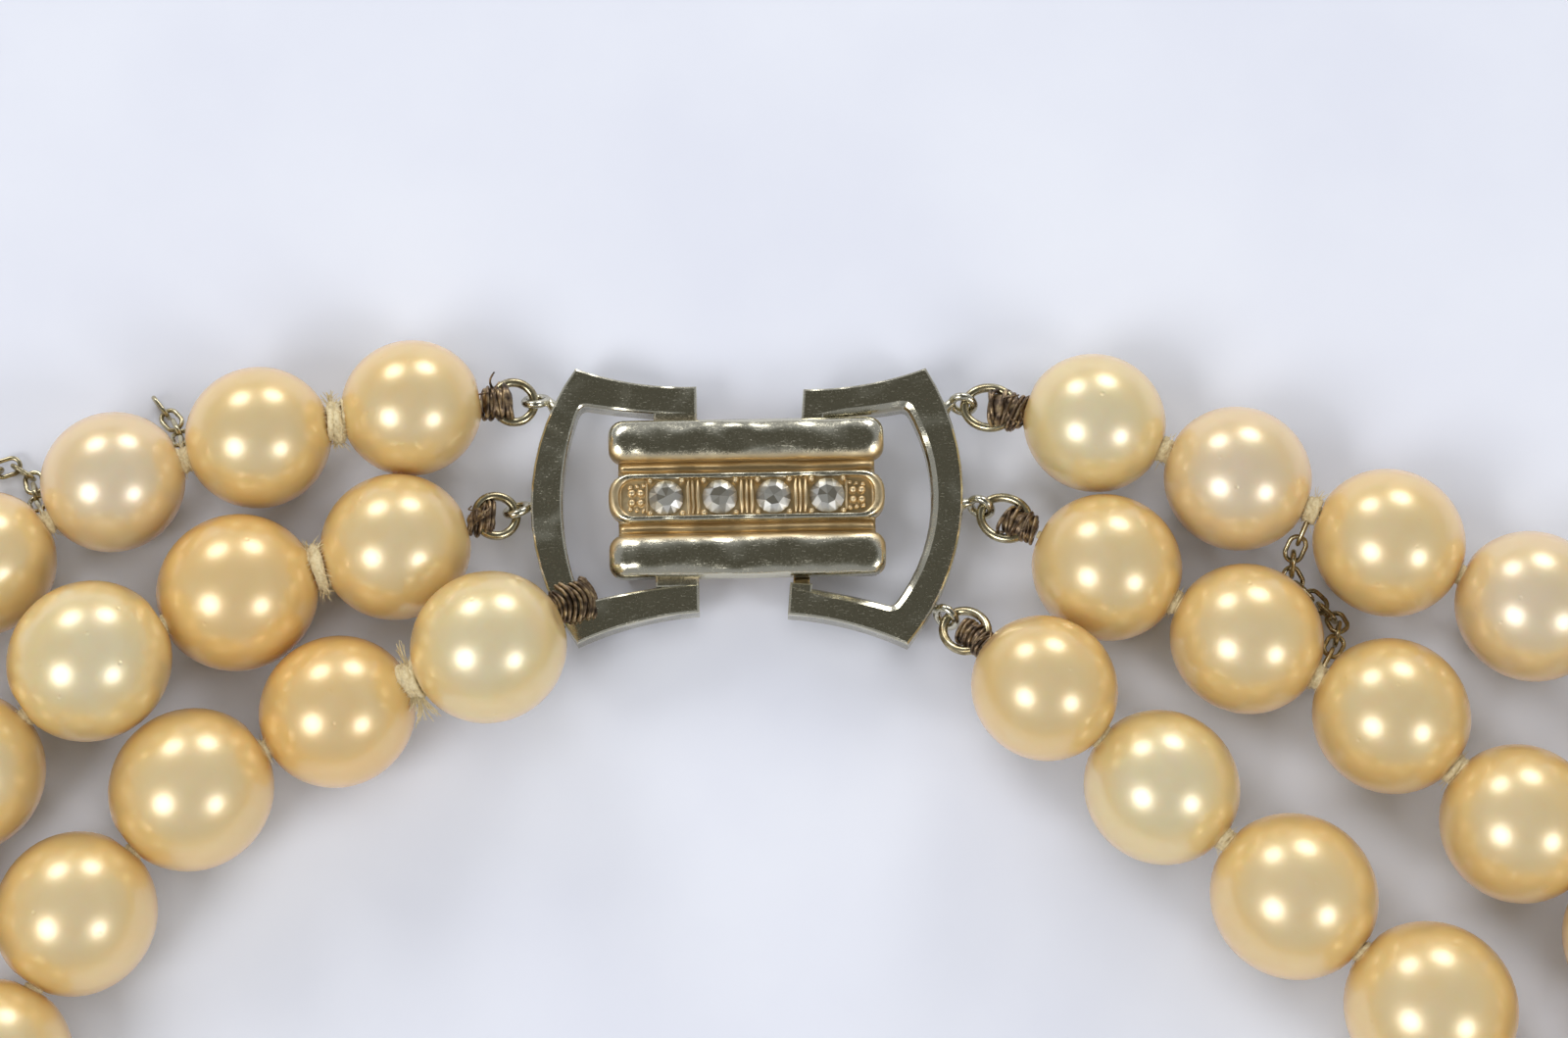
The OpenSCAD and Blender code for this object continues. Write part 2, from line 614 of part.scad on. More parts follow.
module jump_ring(k, side) {
    way = way_out(k, side);
    level = unit([-way.y, way.x, 0]);
    color("#b7ad86") at_origin()
        place(ring_centre(k, side), way, cross(way, level)) {
            if (side < 0) torus(ring_r, ring_wire);
            else oval(ring_r, ring_wire, ring_stretch);
        }
}

// Wound wire round the pearl's side of a jump ring
module wire_coil(k, side) {
    way = way_out(k, side);
    level = unit([-way.y, way.x, 0]);
    span = 60;
    color("#6e4a33") at_origin()
        place(anchor(k, side) - way * ring_r, way, cross(way, level))
            rotate([0, 0, -span]) rotate_extrude(angle = 2 * span, $fn = 60)
                translate([ring_r, 0]) difference() {
                    circle(r = coil_r, $fn = 24);
                    circle(r = coil_bore_r, $fn = 24);
                }
}

// Wound wire round the left frame's lower corner
module wire_loop() {
    way = loop_way();
    color("#6e4a33") at_origin()
        place(loop_spot(), way, cross(way, [0, 0, 1]))
            translate([0, 0, -loop_w / 2]) linear_extrude(loop_w) difference() {
                polygon(round_box(2 * (loop_half + coil_t), 2 * (wrap_half_h + coil_t), 0.6));
                polygon(round_box(2 * loop_half, 2 * wrap_half_h, 0.3));
            }
}

// A pearl drilled from both sides to its middle, along the thread on each side. Both spheres
// lie with their seams and poles away from the bores.
module pearl(p, d, before, after) {
    hollow_r = 1.4 * bore_d / 2;
    way = unit(before + after);
    level = unit(cross([0, 0, 1], way));
    difference() {
        place(p, level, cross(level, way)) sphere(d = d, $fn = 72);
        place(p, level, cross(level, way)) sphere(r = hollow_r, $fn = 32);
        for (w = [-before, after])
            along(p + w * hollow_r / 2, w) cylinder(d = bore_d, h = d, $fn = 24);
    }
}

module pearls(k, tint) {
    s = STRANDS[k];
    color(tint) at_origin()
        for (i = [0 : len(s[0]) - 1])
            pearl(s[0][i], s[1][i], thread_way(k, i - 1), thread_way(k, i));
}

// True where a safety chain takes the knot's place
function has_chain(k, i) = max([for (c = CHAIN_SPOTS) c == [k, i] ? 1 : 0]) == 1;

// The thread runs straight from the middle of one pearl to the next, with a knot between them
module thread(k) {
    s = STRANDS[k];
    n = len(s[0]);
    inset = thread_d / 4;
    joint_d = 1.5 * thread_d;
    least_knot = 0.05;
    color("#e8dcb4") at_origin() {
        for (i = [0 : n - 1]) {
            way = unit(thread_way(k, i - 1) + thread_way(k, i));
            level = unit(cross([0, 0, 1], way));
            place(s[0][i], level, cross(level, way)) sphere(d = joint_d, $fn = 32);
        }
        for (i = [-1 : n - 1]) {
            way = thread_way(k, i);
            start = i < 0
                ? s[0][0] - way * (end_reach(k, -1) - coil_r - link_clearance)
                : s[0][i] + way * inset;
            end = i == n - 1
                ? s[0][i] + way * (end_reach(k, 1) - coil_r - link_clearance)
                : s[0][i + 1] - way * inset;
            along(start, way) cylinder(d = thread_d, h = norm(end - start), $fn = 20);
        }
        for (i = [0 : n - 2]) {
            thick = s[2][i] - 2 * knot_clearance;
            if (thick > least_knot && !has_chain(k, i))
                along(knot_point(k, i) - thread_way(k, i) * thick / 2, thread_way(k, i))
                    cylinder(d = knot_d, h = thick, $fn = 28);
        }
    }
}

// A link in the middle of p that points along way, rolled about way
module link_at(p, way, roll, l) {
    level = unit(cross([0, 0, 1], way));
    place(p, way, cross(way, level) * sin(roll) + level * cos(roll))
        oval((chain_w + chain_wire) / 2, chain_wire, l - chain_w);
}

// Way from a thread at a chain's spot: square to the thread, out by side and down by dip
function hook_way(spot, side, dip) =
    let (t = thread_way(spot[0], spot[1]))
    let (out = unit(cross([0, 0, 1], t)) * side, up = cross(t, out))
    unit(out - (up.z > 0 ? up : -up) * dip);
function hook_middle(spot, way) = knot_point(spot[0], spot[1]) + way * hook_in;

// From the middle of a link that points along v to the middle of the next, along w. Links lie
// flat and stand on edge by turns, and the joint lets each turn about the other's wire.
function hooked(v, w, flat_next, slack, l) =
    let (flat = flat_next ? w : v, edge = flat_next ? v : w)
    v * (l + chain_wire) / 2 + w * (chain_l + chain_wire) / 2
        - (chain_wire + link_clearance + slack) * [flat.x, flat.y, edge.z];

// Plain links from a long link at h that points along v, as [middle, way]. Each turns to its
// heading and goes down as steeply as it may until the chain lies on the surface.
steepest = 0.72;
function heading_way(heading, drop) =
    let (level = sqrt(1 - drop * drop)) [level * cos(heading), level * sin(heading), -drop];
function next_drop(p, w) = min(steepest, max(0, (p.z - chain_low) / chain_pitch + w.z / 2));
function chain_run(h, v, headings) =
    let (w0 = heading_way(headings[0], steepest))
    [for (i = 0, p = h + hooked(v, w0, true, chain_slack, hook_l), w = w0, u = w0; i < len(headings);
        i = i + 1,
        u = i < len(headings) ? heading_way(headings[i], next_drop(p, w)) : w,
        p = p + hooked(w, u, i % 2 == 0, chain_slack, chain_l),
        w = u) [p, w]];

module chain_links(run) {
    for (i = [0 : len(run) - 1]) link_at(run[i][0], run[i][1], 90 + 90 * (i % 2), chain_l);
}

// A broken end: a long link round a thread, then plain links down to the surface
module broken_chain(spot, side, headings) {
    way = hook_way(spot, side, 1);
    color("#9a8a68") at_origin() {
        link_at(hook_middle(spot, way), way, 0, hook_l);
        chain_links(chain_run(hook_middle(spot, way), way, headings));
    }
}

// The whole stretch between the outer and the middle strand, on the right. It dips between
// two pearls as far as its links need.
function dip_path(ends, ways, middle, dip) =
    let (leads = [for (i = [0, 1]) ends[i] + ways[i] * chain_pitch])
    [ends[0], leads[0], middle - [0, 0, dip], leads[1], ends[1]];
function path_length(pts) = let (w = lengths(smooth(pts, 16))) w[len(w) - 1];

// Links whose ways follow a path in even steps, from link to link, ending at the path's end
function path_run(path, steps) =
    let (way = lengths(path), step = way[len(way) - 1] / steps * 0.998, slack = chain_pitch - step)
    let (spots = [for (i = 0, s = [0, path[0], 0]; i <= steps;
        i = i + 1, s = i <= steps ? next_stop(path, way, s, step, 0) : s) s[1]])
    let (ways = [for (i = [0 : steps]) unit(spots[min(i + 1, steps)] - spots[max(i - 1, 0)])])
    let (raw = [for (i = 0, p = path[0]; i <= steps;
        i = i + 1,
        p = i <= steps ? p + hooked(ways[i - 1], ways[i], i % 2 == 0, slack, chain_l) : p) p])
    let (miss = path[len(path) - 1] - raw[steps])
    [for (i = [0 : steps]) [raw[i] + miss * i / steps, ways[i]]];

module safety_chain_right() {
    spots = CHAIN_RIGHT_SPOTS;
    ways = [hook_way(spots[0], 1, 0.5), hook_way(spots[1], -1, 0.5)];
    hooks = [for (i = [0, 1]) hook_middle(spots[i], ways[i])];
    ends = [for (i = [0, 1]) hooks[i] + hooked(ways[i], ways[i], true, chain_slack, hook_l)];
    middle = (STRANDS[OUTER][0][spots[0][1]] + STRANDS[MIDDLE][0][spots[1][1] + 1]) / 2;
    least_dip = 1.6;
    steps = 2 * ceil(path_length(dip_path(ends, ways, middle, least_dip)) / chain_pitch / 1.97);
    dips = [for (d = [least_dip : 0.05 : middle.z - 2 * chain_low])
        if (d == least_dip || path_length(dip_path(ends, ways, middle, d)) < 0.92 * steps * chain_pitch) d];
    color("#9a8a68") at_origin() {
        for (i = [0, 1]) link_at(hooks[i], ways[i], 0, hook_l);
        chain_links(path_run(smooth(dip_path(ends, ways, middle, max(dips)), 16), steps));
    }
}

clasp_box();
clasp_tongue();
diamond(0);  // diamond_1
diamond(1);  // diamond_2
diamond(2);  // diamond_3
diamond(3);  // diamond_4
jump_ring(OUTER, -1);  // jump_ring_outer_left
jump_ring(MIDDLE, -1);  // jump_ring_middle_left
jump_ring(OUTER, 1);  // jump_ring_outer_right
jump_ring(MIDDLE, 1);  // jump_ring_middle_right
jump_ring(INNER, 1);  // jump_ring_inner_right
wire_coil(OUTER, -1);  // wire_coil_outer_left
wire_coil(MIDDLE, -1);  // wire_coil_middle_left
wire_loop();  // wire_loop_inner_left
wire_coil(OUTER, 1);  // wire_coil_outer_right
wire_coil(MIDDLE, 1);  // wire_coil_middle_right
wire_coil(INNER, 1);  // wire_coil_inner_right
thread(OUTER);  // thread_outer
thread(MIDDLE);  // thread_middle
thread(INNER);  // thread_inner
pearls(OUTER, "#e9c892");  // pearls_outer
pearls(MIDDLE, "#e6c07f");  // pearls_middle
pearls(INNER, "#ecc98a");  // pearls_inner
broken_chain(CHAIN_LEFT_SPOT, -1, CHAIN_LEFT_HEADINGS);  // safety_chain_left
broken_chain(CHAIN_EDGE_SPOT, -1, CHAIN_EDGE_HEADINGS);  // safety_chain_edge
safety_chain_right();
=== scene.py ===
"""Three strands of graduated cultured pearls on a bar clasp, laid out on a pale table.

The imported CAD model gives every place. Lengths here are in millimetres in the clasp's own
coordinates, with the middle of the plaque at x = y = 0, unless a name says otherwise.
"""

import logging
import math
import random
from dataclasses import dataclass, field
from enum import Enum
from functools import cache
from typing import Iterable, Sequence

import bmesh
import bpy
from mathutils import Matrix, Vector


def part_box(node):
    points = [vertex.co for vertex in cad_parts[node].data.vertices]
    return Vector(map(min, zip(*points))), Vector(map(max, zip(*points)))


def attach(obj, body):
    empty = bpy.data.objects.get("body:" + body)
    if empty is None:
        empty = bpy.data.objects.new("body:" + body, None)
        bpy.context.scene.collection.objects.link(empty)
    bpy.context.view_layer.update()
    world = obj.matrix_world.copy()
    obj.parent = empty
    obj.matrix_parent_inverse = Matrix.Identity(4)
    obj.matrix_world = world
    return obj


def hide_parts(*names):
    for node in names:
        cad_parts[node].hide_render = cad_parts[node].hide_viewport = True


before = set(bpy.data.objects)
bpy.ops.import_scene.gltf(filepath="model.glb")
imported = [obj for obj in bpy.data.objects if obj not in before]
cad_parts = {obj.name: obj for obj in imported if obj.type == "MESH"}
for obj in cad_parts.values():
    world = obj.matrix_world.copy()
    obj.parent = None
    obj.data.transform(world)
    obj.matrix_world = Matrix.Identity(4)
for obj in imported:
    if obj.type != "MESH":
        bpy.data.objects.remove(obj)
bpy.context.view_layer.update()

MM = 0.001
UP = Vector((0, 0, 1))
BODY = "root"
log = logging.getLogger("necklace")

Plan = Sequence[tuple[float, float]]
Stops = Sequence[tuple[float, str]]


# Colour and node helpers

def linear(code: str) -> tuple[float, float, float, float]:
    """Turns an sRGB hex colour to linear.

    Args:
        code: Colour such as "#E0B070".

    Returns:
        Linear red, green, blue and an alpha of 1.
    """
    parts = [int(code[i:i + 2], 16) / 255 for i in (1, 3, 5)]
    red, green, blue = (c / 12.92 if c <= 0.04045 else ((c + 0.055) / 1.055) ** 2.4 for c in parts)
    return red, green, blue, 1.0


def per_metre(pattern_mm: float) -> float:
    """Gives the scale of a texture whose pattern is so many millimetres wide."""
    return 1 / (pattern_mm * MM)


def set_stops(row: bpy.types.ColorRampElements, stops: Stops) -> None:
    """Sets the stops of a colour ramp.

    Args:
        row: The ramp's own stops.
        stops: Places and hex colours, in order.
    """
    while len(row) < len(stops):
        row.new(0.5)
    for element, (place, code) in zip(row, stops):
        element.position, element.color = place, linear(code)


def fit(tree: bpy.types.NodeTree, node: bpy.types.Node, settings: dict | None = None,
        links: dict | None = None) -> None:
    """Gives a node its settings and links.

    Args:
        tree: The node's tree.
        node: The node.
        settings: Its attributes, or values of its inputs by name or number. The stops of a
            ramp go by the name "stops".
        links: Output sockets to join to its inputs, by the input's name or number.
    """
    for name, value in (settings or {}).items():
        if name == "stops":
            set_stops(node.color_ramp.elements, value)
        elif isinstance(name, str) and hasattr(node, name):
            setattr(node, name, value)
        else:
            node.inputs[name].default_value = value
    for name, socket in (links or {}).items():
        tree.links.new(socket, node.inputs[name])


def add(tree: bpy.types.NodeTree, kind: str, settings: dict | None = None,
        links: dict | None = None) -> bpy.types.Node:
    """Adds a node with its settings and links.

    Args:
        tree: Tree that gets the node.
        kind: Blender's name of the node type.
        settings: As in fit.
        links: As in fit.

    Returns:
        The new node.
    """
    made = tree.nodes.new(kind)
    fit(tree, made, settings, links)
    return made


def new_material(name: str) -> tuple[bpy.types.Material, bpy.types.NodeTree, bpy.types.Node]:
    """Makes a material with a Principled surface.

    Args:
        name: The finish's plain name.

    Returns:
        The material, its tree and its Principled node.
    """
    material = bpy.data.materials.new(name)
    material.use_nodes = True
    tree = material.node_tree
    return material, tree, tree.nodes["Principled BSDF"]


# Finishes

class PearlTone(Enum):
    """Body colours of the pearls, as places on the nacre's ramp."""

    DEEP = 0.05
    GOLD = 0.28
    HONEY = 0.5
    CREAM = 0.72
    BLUSH = 0.95


@dataclass(frozen=True)
class CulturedNacre:
    """Cultured nacre, polished only by the oyster, under a clear skin with a few pits. Its body colour
    carries a painted sheen: pale where the pearl faces the camera, painted warmer and darker edge-on."""

    name: str = "cultured_nacre"
    deep: str = "#EBCE92"
    gold: str = "#EAD5A3"
    honey: str = "#E8D19C"
    cream: str = "#EADDB2"
    blush: str = "#E8D6B3"
    # Painted sheen: tints multiplied on the body colour, from facing the camera to edge-on.
    sheen: Stops = ((0.01, "#F8F8FF"), (0.13, "#F4F1EA"), (0.26, "#FBF2DC"), (0.42, "#FDF2DA"),
                    (0.61, "#FFF0CC"), (0.95, "#FFD896"))
    bloom: str = "#F8E0C0"
    glow_mm: float = 2.6
    cloud_mm: float = 2.6
    cloud_share: float = 0.5
    grain_mm: float = 0.3
    grain_high_mm: float = 0.01
    pit_mm: float = 1.5
    pit_deep_mm: float = 0.03

    def material(self) -> bpy.types.Material:
        """Builds the material, which reads each pearl's tone and its own coordinates.

        Returns:
            The material.
        """
        material, tree, skin = new_material(self.name)
        place = add(tree, "ShaderNodeTexCoord").outputs["Object"]
        tone = add(tree, "ShaderNodeAttribute", {"attribute_name": "tone"})
        cloud = add(tree, "ShaderNodeTexNoise", {"Scale": per_metre(self.cloud_mm), "Detail": 3.0},
                    {"Vector": place})
        drift = add(tree, "ShaderNodeMath", {"operation": "MULTIPLY_ADD", 1: self.cloud_share,
                                             2: -self.cloud_share / 2}, {0: cloud.outputs["Fac"]})
        mixed = add(tree, "ShaderNodeMath", {"operation": "ADD", "use_clamp": True},
                    {0: tone.outputs["Fac"], 1: drift.outputs[0]})
        body = add(tree, "ShaderNodeValToRGB", {"stops": [
            (PearlTone.DEEP.value, self.deep), (PearlTone.GOLD.value, self.gold),
            (PearlTone.HONEY.value, self.honey), (PearlTone.CREAM.value, self.cream),
            (PearlTone.BLUSH.value, self.blush)]}, {"Fac": mixed.outputs[0]})
        grain = add(tree, "ShaderNodeTexNoise", {"Scale": per_metre(self.grain_mm), "Detail": 2.0},
                    {"Vector": place})
        pits = add(tree, "ShaderNodeTexVoronoi", {"Scale": per_metre(self.pit_mm)}, {"Vector": place})
        pit = add(tree, "ShaderNodeMapRange", {"From Min": 0.02, "From Max": 0.09},
                  {"Value": pits.outputs["Distance"]})
        fine = add(tree, "ShaderNodeBump", {"Strength": 0.35, "Distance": self.grain_high_mm * MM},
                   {"Height": grain.outputs["Fac"]})
        bump = add(tree, "ShaderNodeBump", {"Strength": 0.5, "Distance": self.pit_deep_mm * MM},
                   {"Height": pit.outputs["Result"], "Normal": fine.outputs["Normal"]})
        # Painted sheen: the view angle warms and darkens the body colour towards the pearl's edge.
        side = add(tree, "ShaderNodeLayerWeight", {"Blend": 0.5})
        painted_sheen_ramp = add(tree, "ShaderNodeValToRGB", {"stops": self.sheen}, {"Fac": side.outputs["Facing"]})
        body_with_painted_sheen = add(tree, "ShaderNodeMix", {"data_type": "RGBA", "blend_type": "MULTIPLY", 0: 1.0},
                   {6: body.outputs["Color"], 7: painted_sheen_ramp.outputs["Color"]})
        fit(tree, skin,
            {"Metallic": 0.3, "Roughness": 0.34, "IOR": 1.56, "Subsurface Weight": 0.55,
             "Subsurface Radius": (1.0, 0.6, 0.3), "Subsurface Scale": self.glow_mm * MM,
             "Coat Weight": 1.0, "Coat Roughness": 0.22, "Coat IOR": 1.7, "Sheen Weight": 0.1,
             "Sheen Roughness": 0.4, "Sheen Tint": linear(self.bloom)},
            {"Base Color": body_with_painted_sheen.outputs[2], "Normal": bump.outputs["Normal"]})
        return material


class Recess(Enum):
    """How far polishing reached, as places on the metal's ramp. The untouched end also carries painted
    shade.
    """

    POLISHED = 0.0
    CUT = 0.5
    UNTOUCHED = 1.0


@dataclass(frozen=True)
class WornWhiteGold:
    """Pale gold, cast, soldered and polished by hand: a soft unevenness that bends what it mirrors,
    fine scratches from years of wear, and yellower, darker metal low in the grooves and under the bars,
    partly unpolished metal and partly painted shade and warm bounce light.
    Real scratches are too fine for the picture, so these are drawn 0.07 mm wide."""

    name: str = "worn_white_gold"
    top: str = "#CFCAB6"
    cut: str = "#E8D2A8"
    # unpolished metal, and painted shade low in the grooves and under the bars
    yellow: str = "#CBB286"
    wave_mm: float = 2.8
    wave_high_mm: float = 0.6
    scratch_mm: float = 0.07
    scratch_deep_mm: float = 0.003
    scratch_ways: tuple[float, float] = (0.45, -0.9)
    speck_mm: float = 0.1
    speck_high_mm: float = 0.003

    def scratch(self, tree: bpy.types.NodeTree, place: bpy.types.NodeSocket,
                turn: float) -> bpy.types.NodeSocket:
        """Makes fine scratches that run one way.

        Args:
            tree: The material's tree.
            place: Object coordinates.
            turn: The scratches' heading in radians.

        Returns:
            A mask that is 1 in a scratch.
        """
        aligned = add(tree, "ShaderNodeMapping", {"Scale": (0.2, 1.0, 1.0), "Rotation": (0, 0, turn)},
                      {"Vector": place})
        noise = add(tree, "ShaderNodeTexNoise", {"Scale": per_metre(self.scratch_mm), "Detail": 2.0},
                    {"Vector": aligned.outputs["Vector"]})
        line = add(tree, "ShaderNodeMapRange", {"From Min": 0.64, "From Max": 0.72},
                   {"Value": noise.outputs["Fac"]})
        return line.outputs["Result"]

    def material(self) -> bpy.types.Material:
        """Builds the material; a point attribute turns it yellower and darker, partly as unpolished metal
        and partly as painted shade.

        Returns:
            The material.
        """
        material, tree, metal = new_material(self.name)
        place = add(tree, "ShaderNodeTexCoord").outputs["Object"]
        # Painted shade in part: this attribute yellows and darkens the metal low in the grooves and under
        # the bars.
        recess = add(tree, "ShaderNodeAttribute", {"attribute_name": "recess"}).outputs["Fac"]
        speck = add(tree, "ShaderNodeTexNoise", {"Scale": per_metre(self.speck_mm), "Detail": 3.0},
                    {"Vector": place})
        wave = add(tree, "ShaderNodeTexNoise", {"Scale": per_metre(self.wave_mm), "Detail": 1.0},
                   {"Vector": place})
        lines = add(tree, "ShaderNodeMath", {"operation": "MAXIMUM"},
                    {n: self.scratch(tree, place, way) for n, way in enumerate(self.scratch_ways)})
        dull = add(tree, "ShaderNodeMapRange",
                   {"From Min": 0.4, "From Max": 0.75, "To Min": 0.14, "To Max": 0.3},
                   {"Value": speck.outputs["Fac"]})
        rough = add(tree, "ShaderNodeMath", {"operation": "MULTIPLY_ADD", 1: 0.16},
                    {0: lines.outputs[0], 2: dull.outputs["Result"]})
        colour = add(tree, "ShaderNodeValToRGB", {"stops": [
            (Recess.POLISHED.value, self.top), (Recess.CUT.value, self.cut),
            (Recess.UNTOUCHED.value, self.yellow)]}, {"Fac": recess})
        matt = add(tree, "ShaderNodeMapRange", {"From Max": Recess.CUT.value, "To Max": 0.22},
                   {"Value": recess})
        all_rough = add(tree, "ShaderNodeMath", {"operation": "ADD"},
                        {0: rough.outputs[0], 1: matt.outputs["Result"]})
        uneven = add(tree, "ShaderNodeBump", {"Strength": 1.0, "Distance": self.wave_high_mm * MM},
                     {"Height": wave.outputs["Fac"]})
        fine = add(tree, "ShaderNodeBump", {"Strength": 0.4, "Distance": self.speck_high_mm * MM},
                   {"Height": speck.outputs["Fac"], "Normal": uneven.outputs["Normal"]})
        bump = add(tree, "ShaderNodeBump", {"Strength": 0.4, "Distance": self.scratch_deep_mm * MM},
                   {"Height": lines.outputs[0], "Normal": fine.outputs["Normal"]})
        fit(tree, metal, {"Metallic": 1.0},
            {"Base Color": colour.outputs["Color"], "Roughness": all_rough.outputs[0],
             "Normal": bump.outputs["Normal"]})
        return material


@dataclass(frozen=True)
class DrawnGold:
    """Thin drawn gold wire, bent by hand: smoother than the cast parts and a little yellow."""

    name: str = "drawn_gold_wire"
    colour: str = "#C8BE9E"
    stain: str = "#8A7A58"
    blotch_mm: float = 0.6

    def material(self) -> bpy.types.Material:
        """Builds the material, with dull blotches along the wire.

        Returns:
            The material.
        """
        material, tree, metal = new_material(self.name)
        place = add(tree, "ShaderNodeTexCoord").outputs["Object"]
        blotch = add(tree, "ShaderNodeTexNoise", {"Scale": per_metre(self.blotch_mm), "Detail": 3.0},
                     {"Vector": place})
        body = add(tree, "ShaderNodeValToRGB", {"stops": [(0.38, self.colour), (0.68, self.stain)]},
                   {"Fac": blotch.outputs["Fac"]})
        rough = add(tree, "ShaderNodeMapRange",
                    {"From Min": 0.3, "From Max": 0.7, "To Min": 0.16, "To Max": 0.36},
                    {"Value": blotch.outputs["Fac"]})
        fit(tree, metal, {"Metallic": 1.0},
            {"Base Color": body.outputs["Color"], "Roughness": rough.outputs["Result"]})
        return material


@dataclass(frozen=True)
class TarnishedWire:
    """Wound wire gone brown with tarnish and glue, with copper showing on its crests."""

    name: str = "tarnished_wound_wire"
    dark: str = "#463A30"
    brown: str = "#84705A"
    copper: str = "#C8B088"
    patch_mm: float = 0.4
    crust_high_mm: float = 0.03

    def material(self) -> bpy.types.Material:
        """Builds the material from patches of tarnish.

        Returns:
            The material.
        """
        material, tree, metal = new_material(self.name)
        place = add(tree, "ShaderNodeTexCoord").outputs["Object"]
        patch = add(tree, "ShaderNodeTexNoise", {"Scale": per_metre(self.patch_mm), "Detail": 4.0},
                    {"Vector": place})
        body = add(tree, "ShaderNodeValToRGB",
                   {"stops": [(0.36, self.dark), (0.52, self.brown), (0.7, self.copper)]},
                   {"Fac": patch.outputs["Fac"]})
        bump = add(tree, "ShaderNodeBump", {"Strength": 0.4, "Distance": self.crust_high_mm * MM},
                   {"Height": patch.outputs["Fac"]})
        fit(tree, metal, {"Metallic": 0.8, "Roughness": 0.36},
            {"Base Color": body.outputs["Color"], "Normal": bump.outputs["Normal"]})
        return material


@dataclass(frozen=True)
class SilkFloss:
    """Twisted silk, knotted by hand and frayed: matt, cream, with a faint sheen."""

    name: str = "silk_floss"
    light: str = "#E6D8B0"
    dark: str = "#CDBB8E"
    ply_mm: float = 0.18
    ply_high_mm: float = 0.06

    def material(self) -> bpy.types.Material:
        """Builds the material, with the plies as fine streaks.

        Returns:
            The material.
        """
        material, tree, silk = new_material(self.name)
        place = add(tree, "ShaderNodeTexCoord").outputs["Object"]
        ply = add(tree, "ShaderNodeTexNoise", {"Scale": per_metre(self.ply_mm), "Detail": 3.0},
                  {"Vector": place})
        body = add(tree, "ShaderNodeValToRGB", {"stops": [(0.3, self.dark), (0.6, self.light)]},
                   {"Fac": ply.outputs["Fac"]})
        bump = add(tree, "ShaderNodeBump", {"Strength": 0.7, "Distance": self.ply_high_mm * MM},
                   {"Height": ply.outputs["Fac"]})
        fit(tree, silk, {"Roughness": 0.8, "Sheen Weight": 0.3},
            {"Base Color": body.outputs["Color"], "Normal": bump.outputs["Normal"]})
        return material


@dataclass(frozen=True)
class CutDiamond:
    """Clear diamond in flat facets. A share of the stone answers like a small tilted mirror, with its
    facets painted bright or dark at random: painted sparkle for light that enters the top and is thrown
    back by the facets below."""

    name: str = "cut_diamond"
    clear: str = "#FCFCFA"
    flash: str = "#FFFFFA"
    # colour of the dark facets of the painted sparkle
    shade: str = "#A6A296"
    mirror_share: float = 0.75

    def material(self) -> bpy.types.Material:
        """Builds the material from clear glass of diamond's density and a mirror share whose facets a
        face attribute paints bright or dark, as painted sparkle.

        Returns:
            The material.
        """
        material, tree, stone = new_material(self.name)
        # Painted sparkle: each facet's level tints the mirror share from dark to bright.
        painted_sparkle_level = add(tree, "ShaderNodeAttribute", {"attribute_name": "flash"})
        tint = add(tree, "ShaderNodeValToRGB", {"stops": [(0.0, self.shade), (1.0, self.flash)]},
                   {"Fac": painted_sparkle_level.outputs["Fac"]})
        fit(tree, stone, {"Base Color": linear(self.clear), "Transmission Weight": 1.0,
                          "Roughness": 0.01, "IOR": 2.42})
        mirror = add(tree, "ShaderNodeBsdfGlossy", {"Roughness": 0.4}, {"Color": tint.outputs["Color"]})
        both = add(tree, "ShaderNodeMixShader", {0: self.mirror_share},
                   {1: stone.outputs[0], 2: mirror.outputs[0]})
        fit(tree, tree.nodes["Material Output"], links={"Surface": both.outputs[0]})
        return material


@dataclass(frozen=True)
class PaleTable:
    """Matt white board with a cool cast, faintly uneven."""

    name: str = "pale_table"
    light: str = "#E3E6F0"
    dark: str = "#DDE0EC"
    patch_mm: float = 18.0

    def material(self) -> bpy.types.Material:
        """Builds the table's material.

        Returns:
            The material.
        """
        material, tree, board = new_material(self.name)
        place = add(tree, "ShaderNodeTexCoord").outputs["Object"]
        patch = add(tree, "ShaderNodeTexNoise", {"Scale": per_metre(self.patch_mm), "Detail": 4.0},
                    {"Vector": place})
        body = add(tree, "ShaderNodeValToRGB", {"stops": [(0.35, self.dark), (0.65, self.light)]},
                   {"Fac": patch.outputs["Fac"]})
        fit(tree, board, {"Roughness": 0.7}, {"Base Color": body.outputs["Color"]})
        return material


# Mesh helpers

def around(count: int, shift: float = 0) -> list[float]:
    """Gives a full turn in even steps, in radians, which start a share of a step late."""
    return [2 * math.pi * (k + shift) / count for k in range(count)]


def linked(name: str, data: bpy.types.ID) -> bpy.types.Object:
    """Makes an object at the origin and links it to the scene.

    Args:
        name: The object's name.
        data: Its mesh, lamp or camera.

    Returns:
        The new object.
    """
    made = bpy.data.objects.new(name, data)
    bpy.context.scene.collection.objects.link(made)
    return made


def object_from(name: str, verts: Sequence[Sequence[float]], faces: Sequence[Sequence[int]],
                material: bpy.types.Material | None = None) -> bpy.types.Object:
    """Makes an object from points in metres.

    Args:
        name: The piece's name.
        verts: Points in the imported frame.
        faces: Corners of each face, counter-clockwise from outside.
        material: Its finish.

    Returns:
        The new object.
    """
    mesh = bpy.data.meshes.new(name)
    mesh.from_pydata([tuple(v) for v in verts], [], [tuple(f) for f in faces])
    mesh.update()
    if material:
        mesh.materials.append(material)
    return linked(name, mesh)


def dress(made: bpy.types.Object, material: bpy.types.Material) -> None:
    """Gives an object one material in place of those it has.

    Args:
        made: The object.
        material: The finish.
    """
    made.data.materials.clear()
    made.data.materials.append(material)


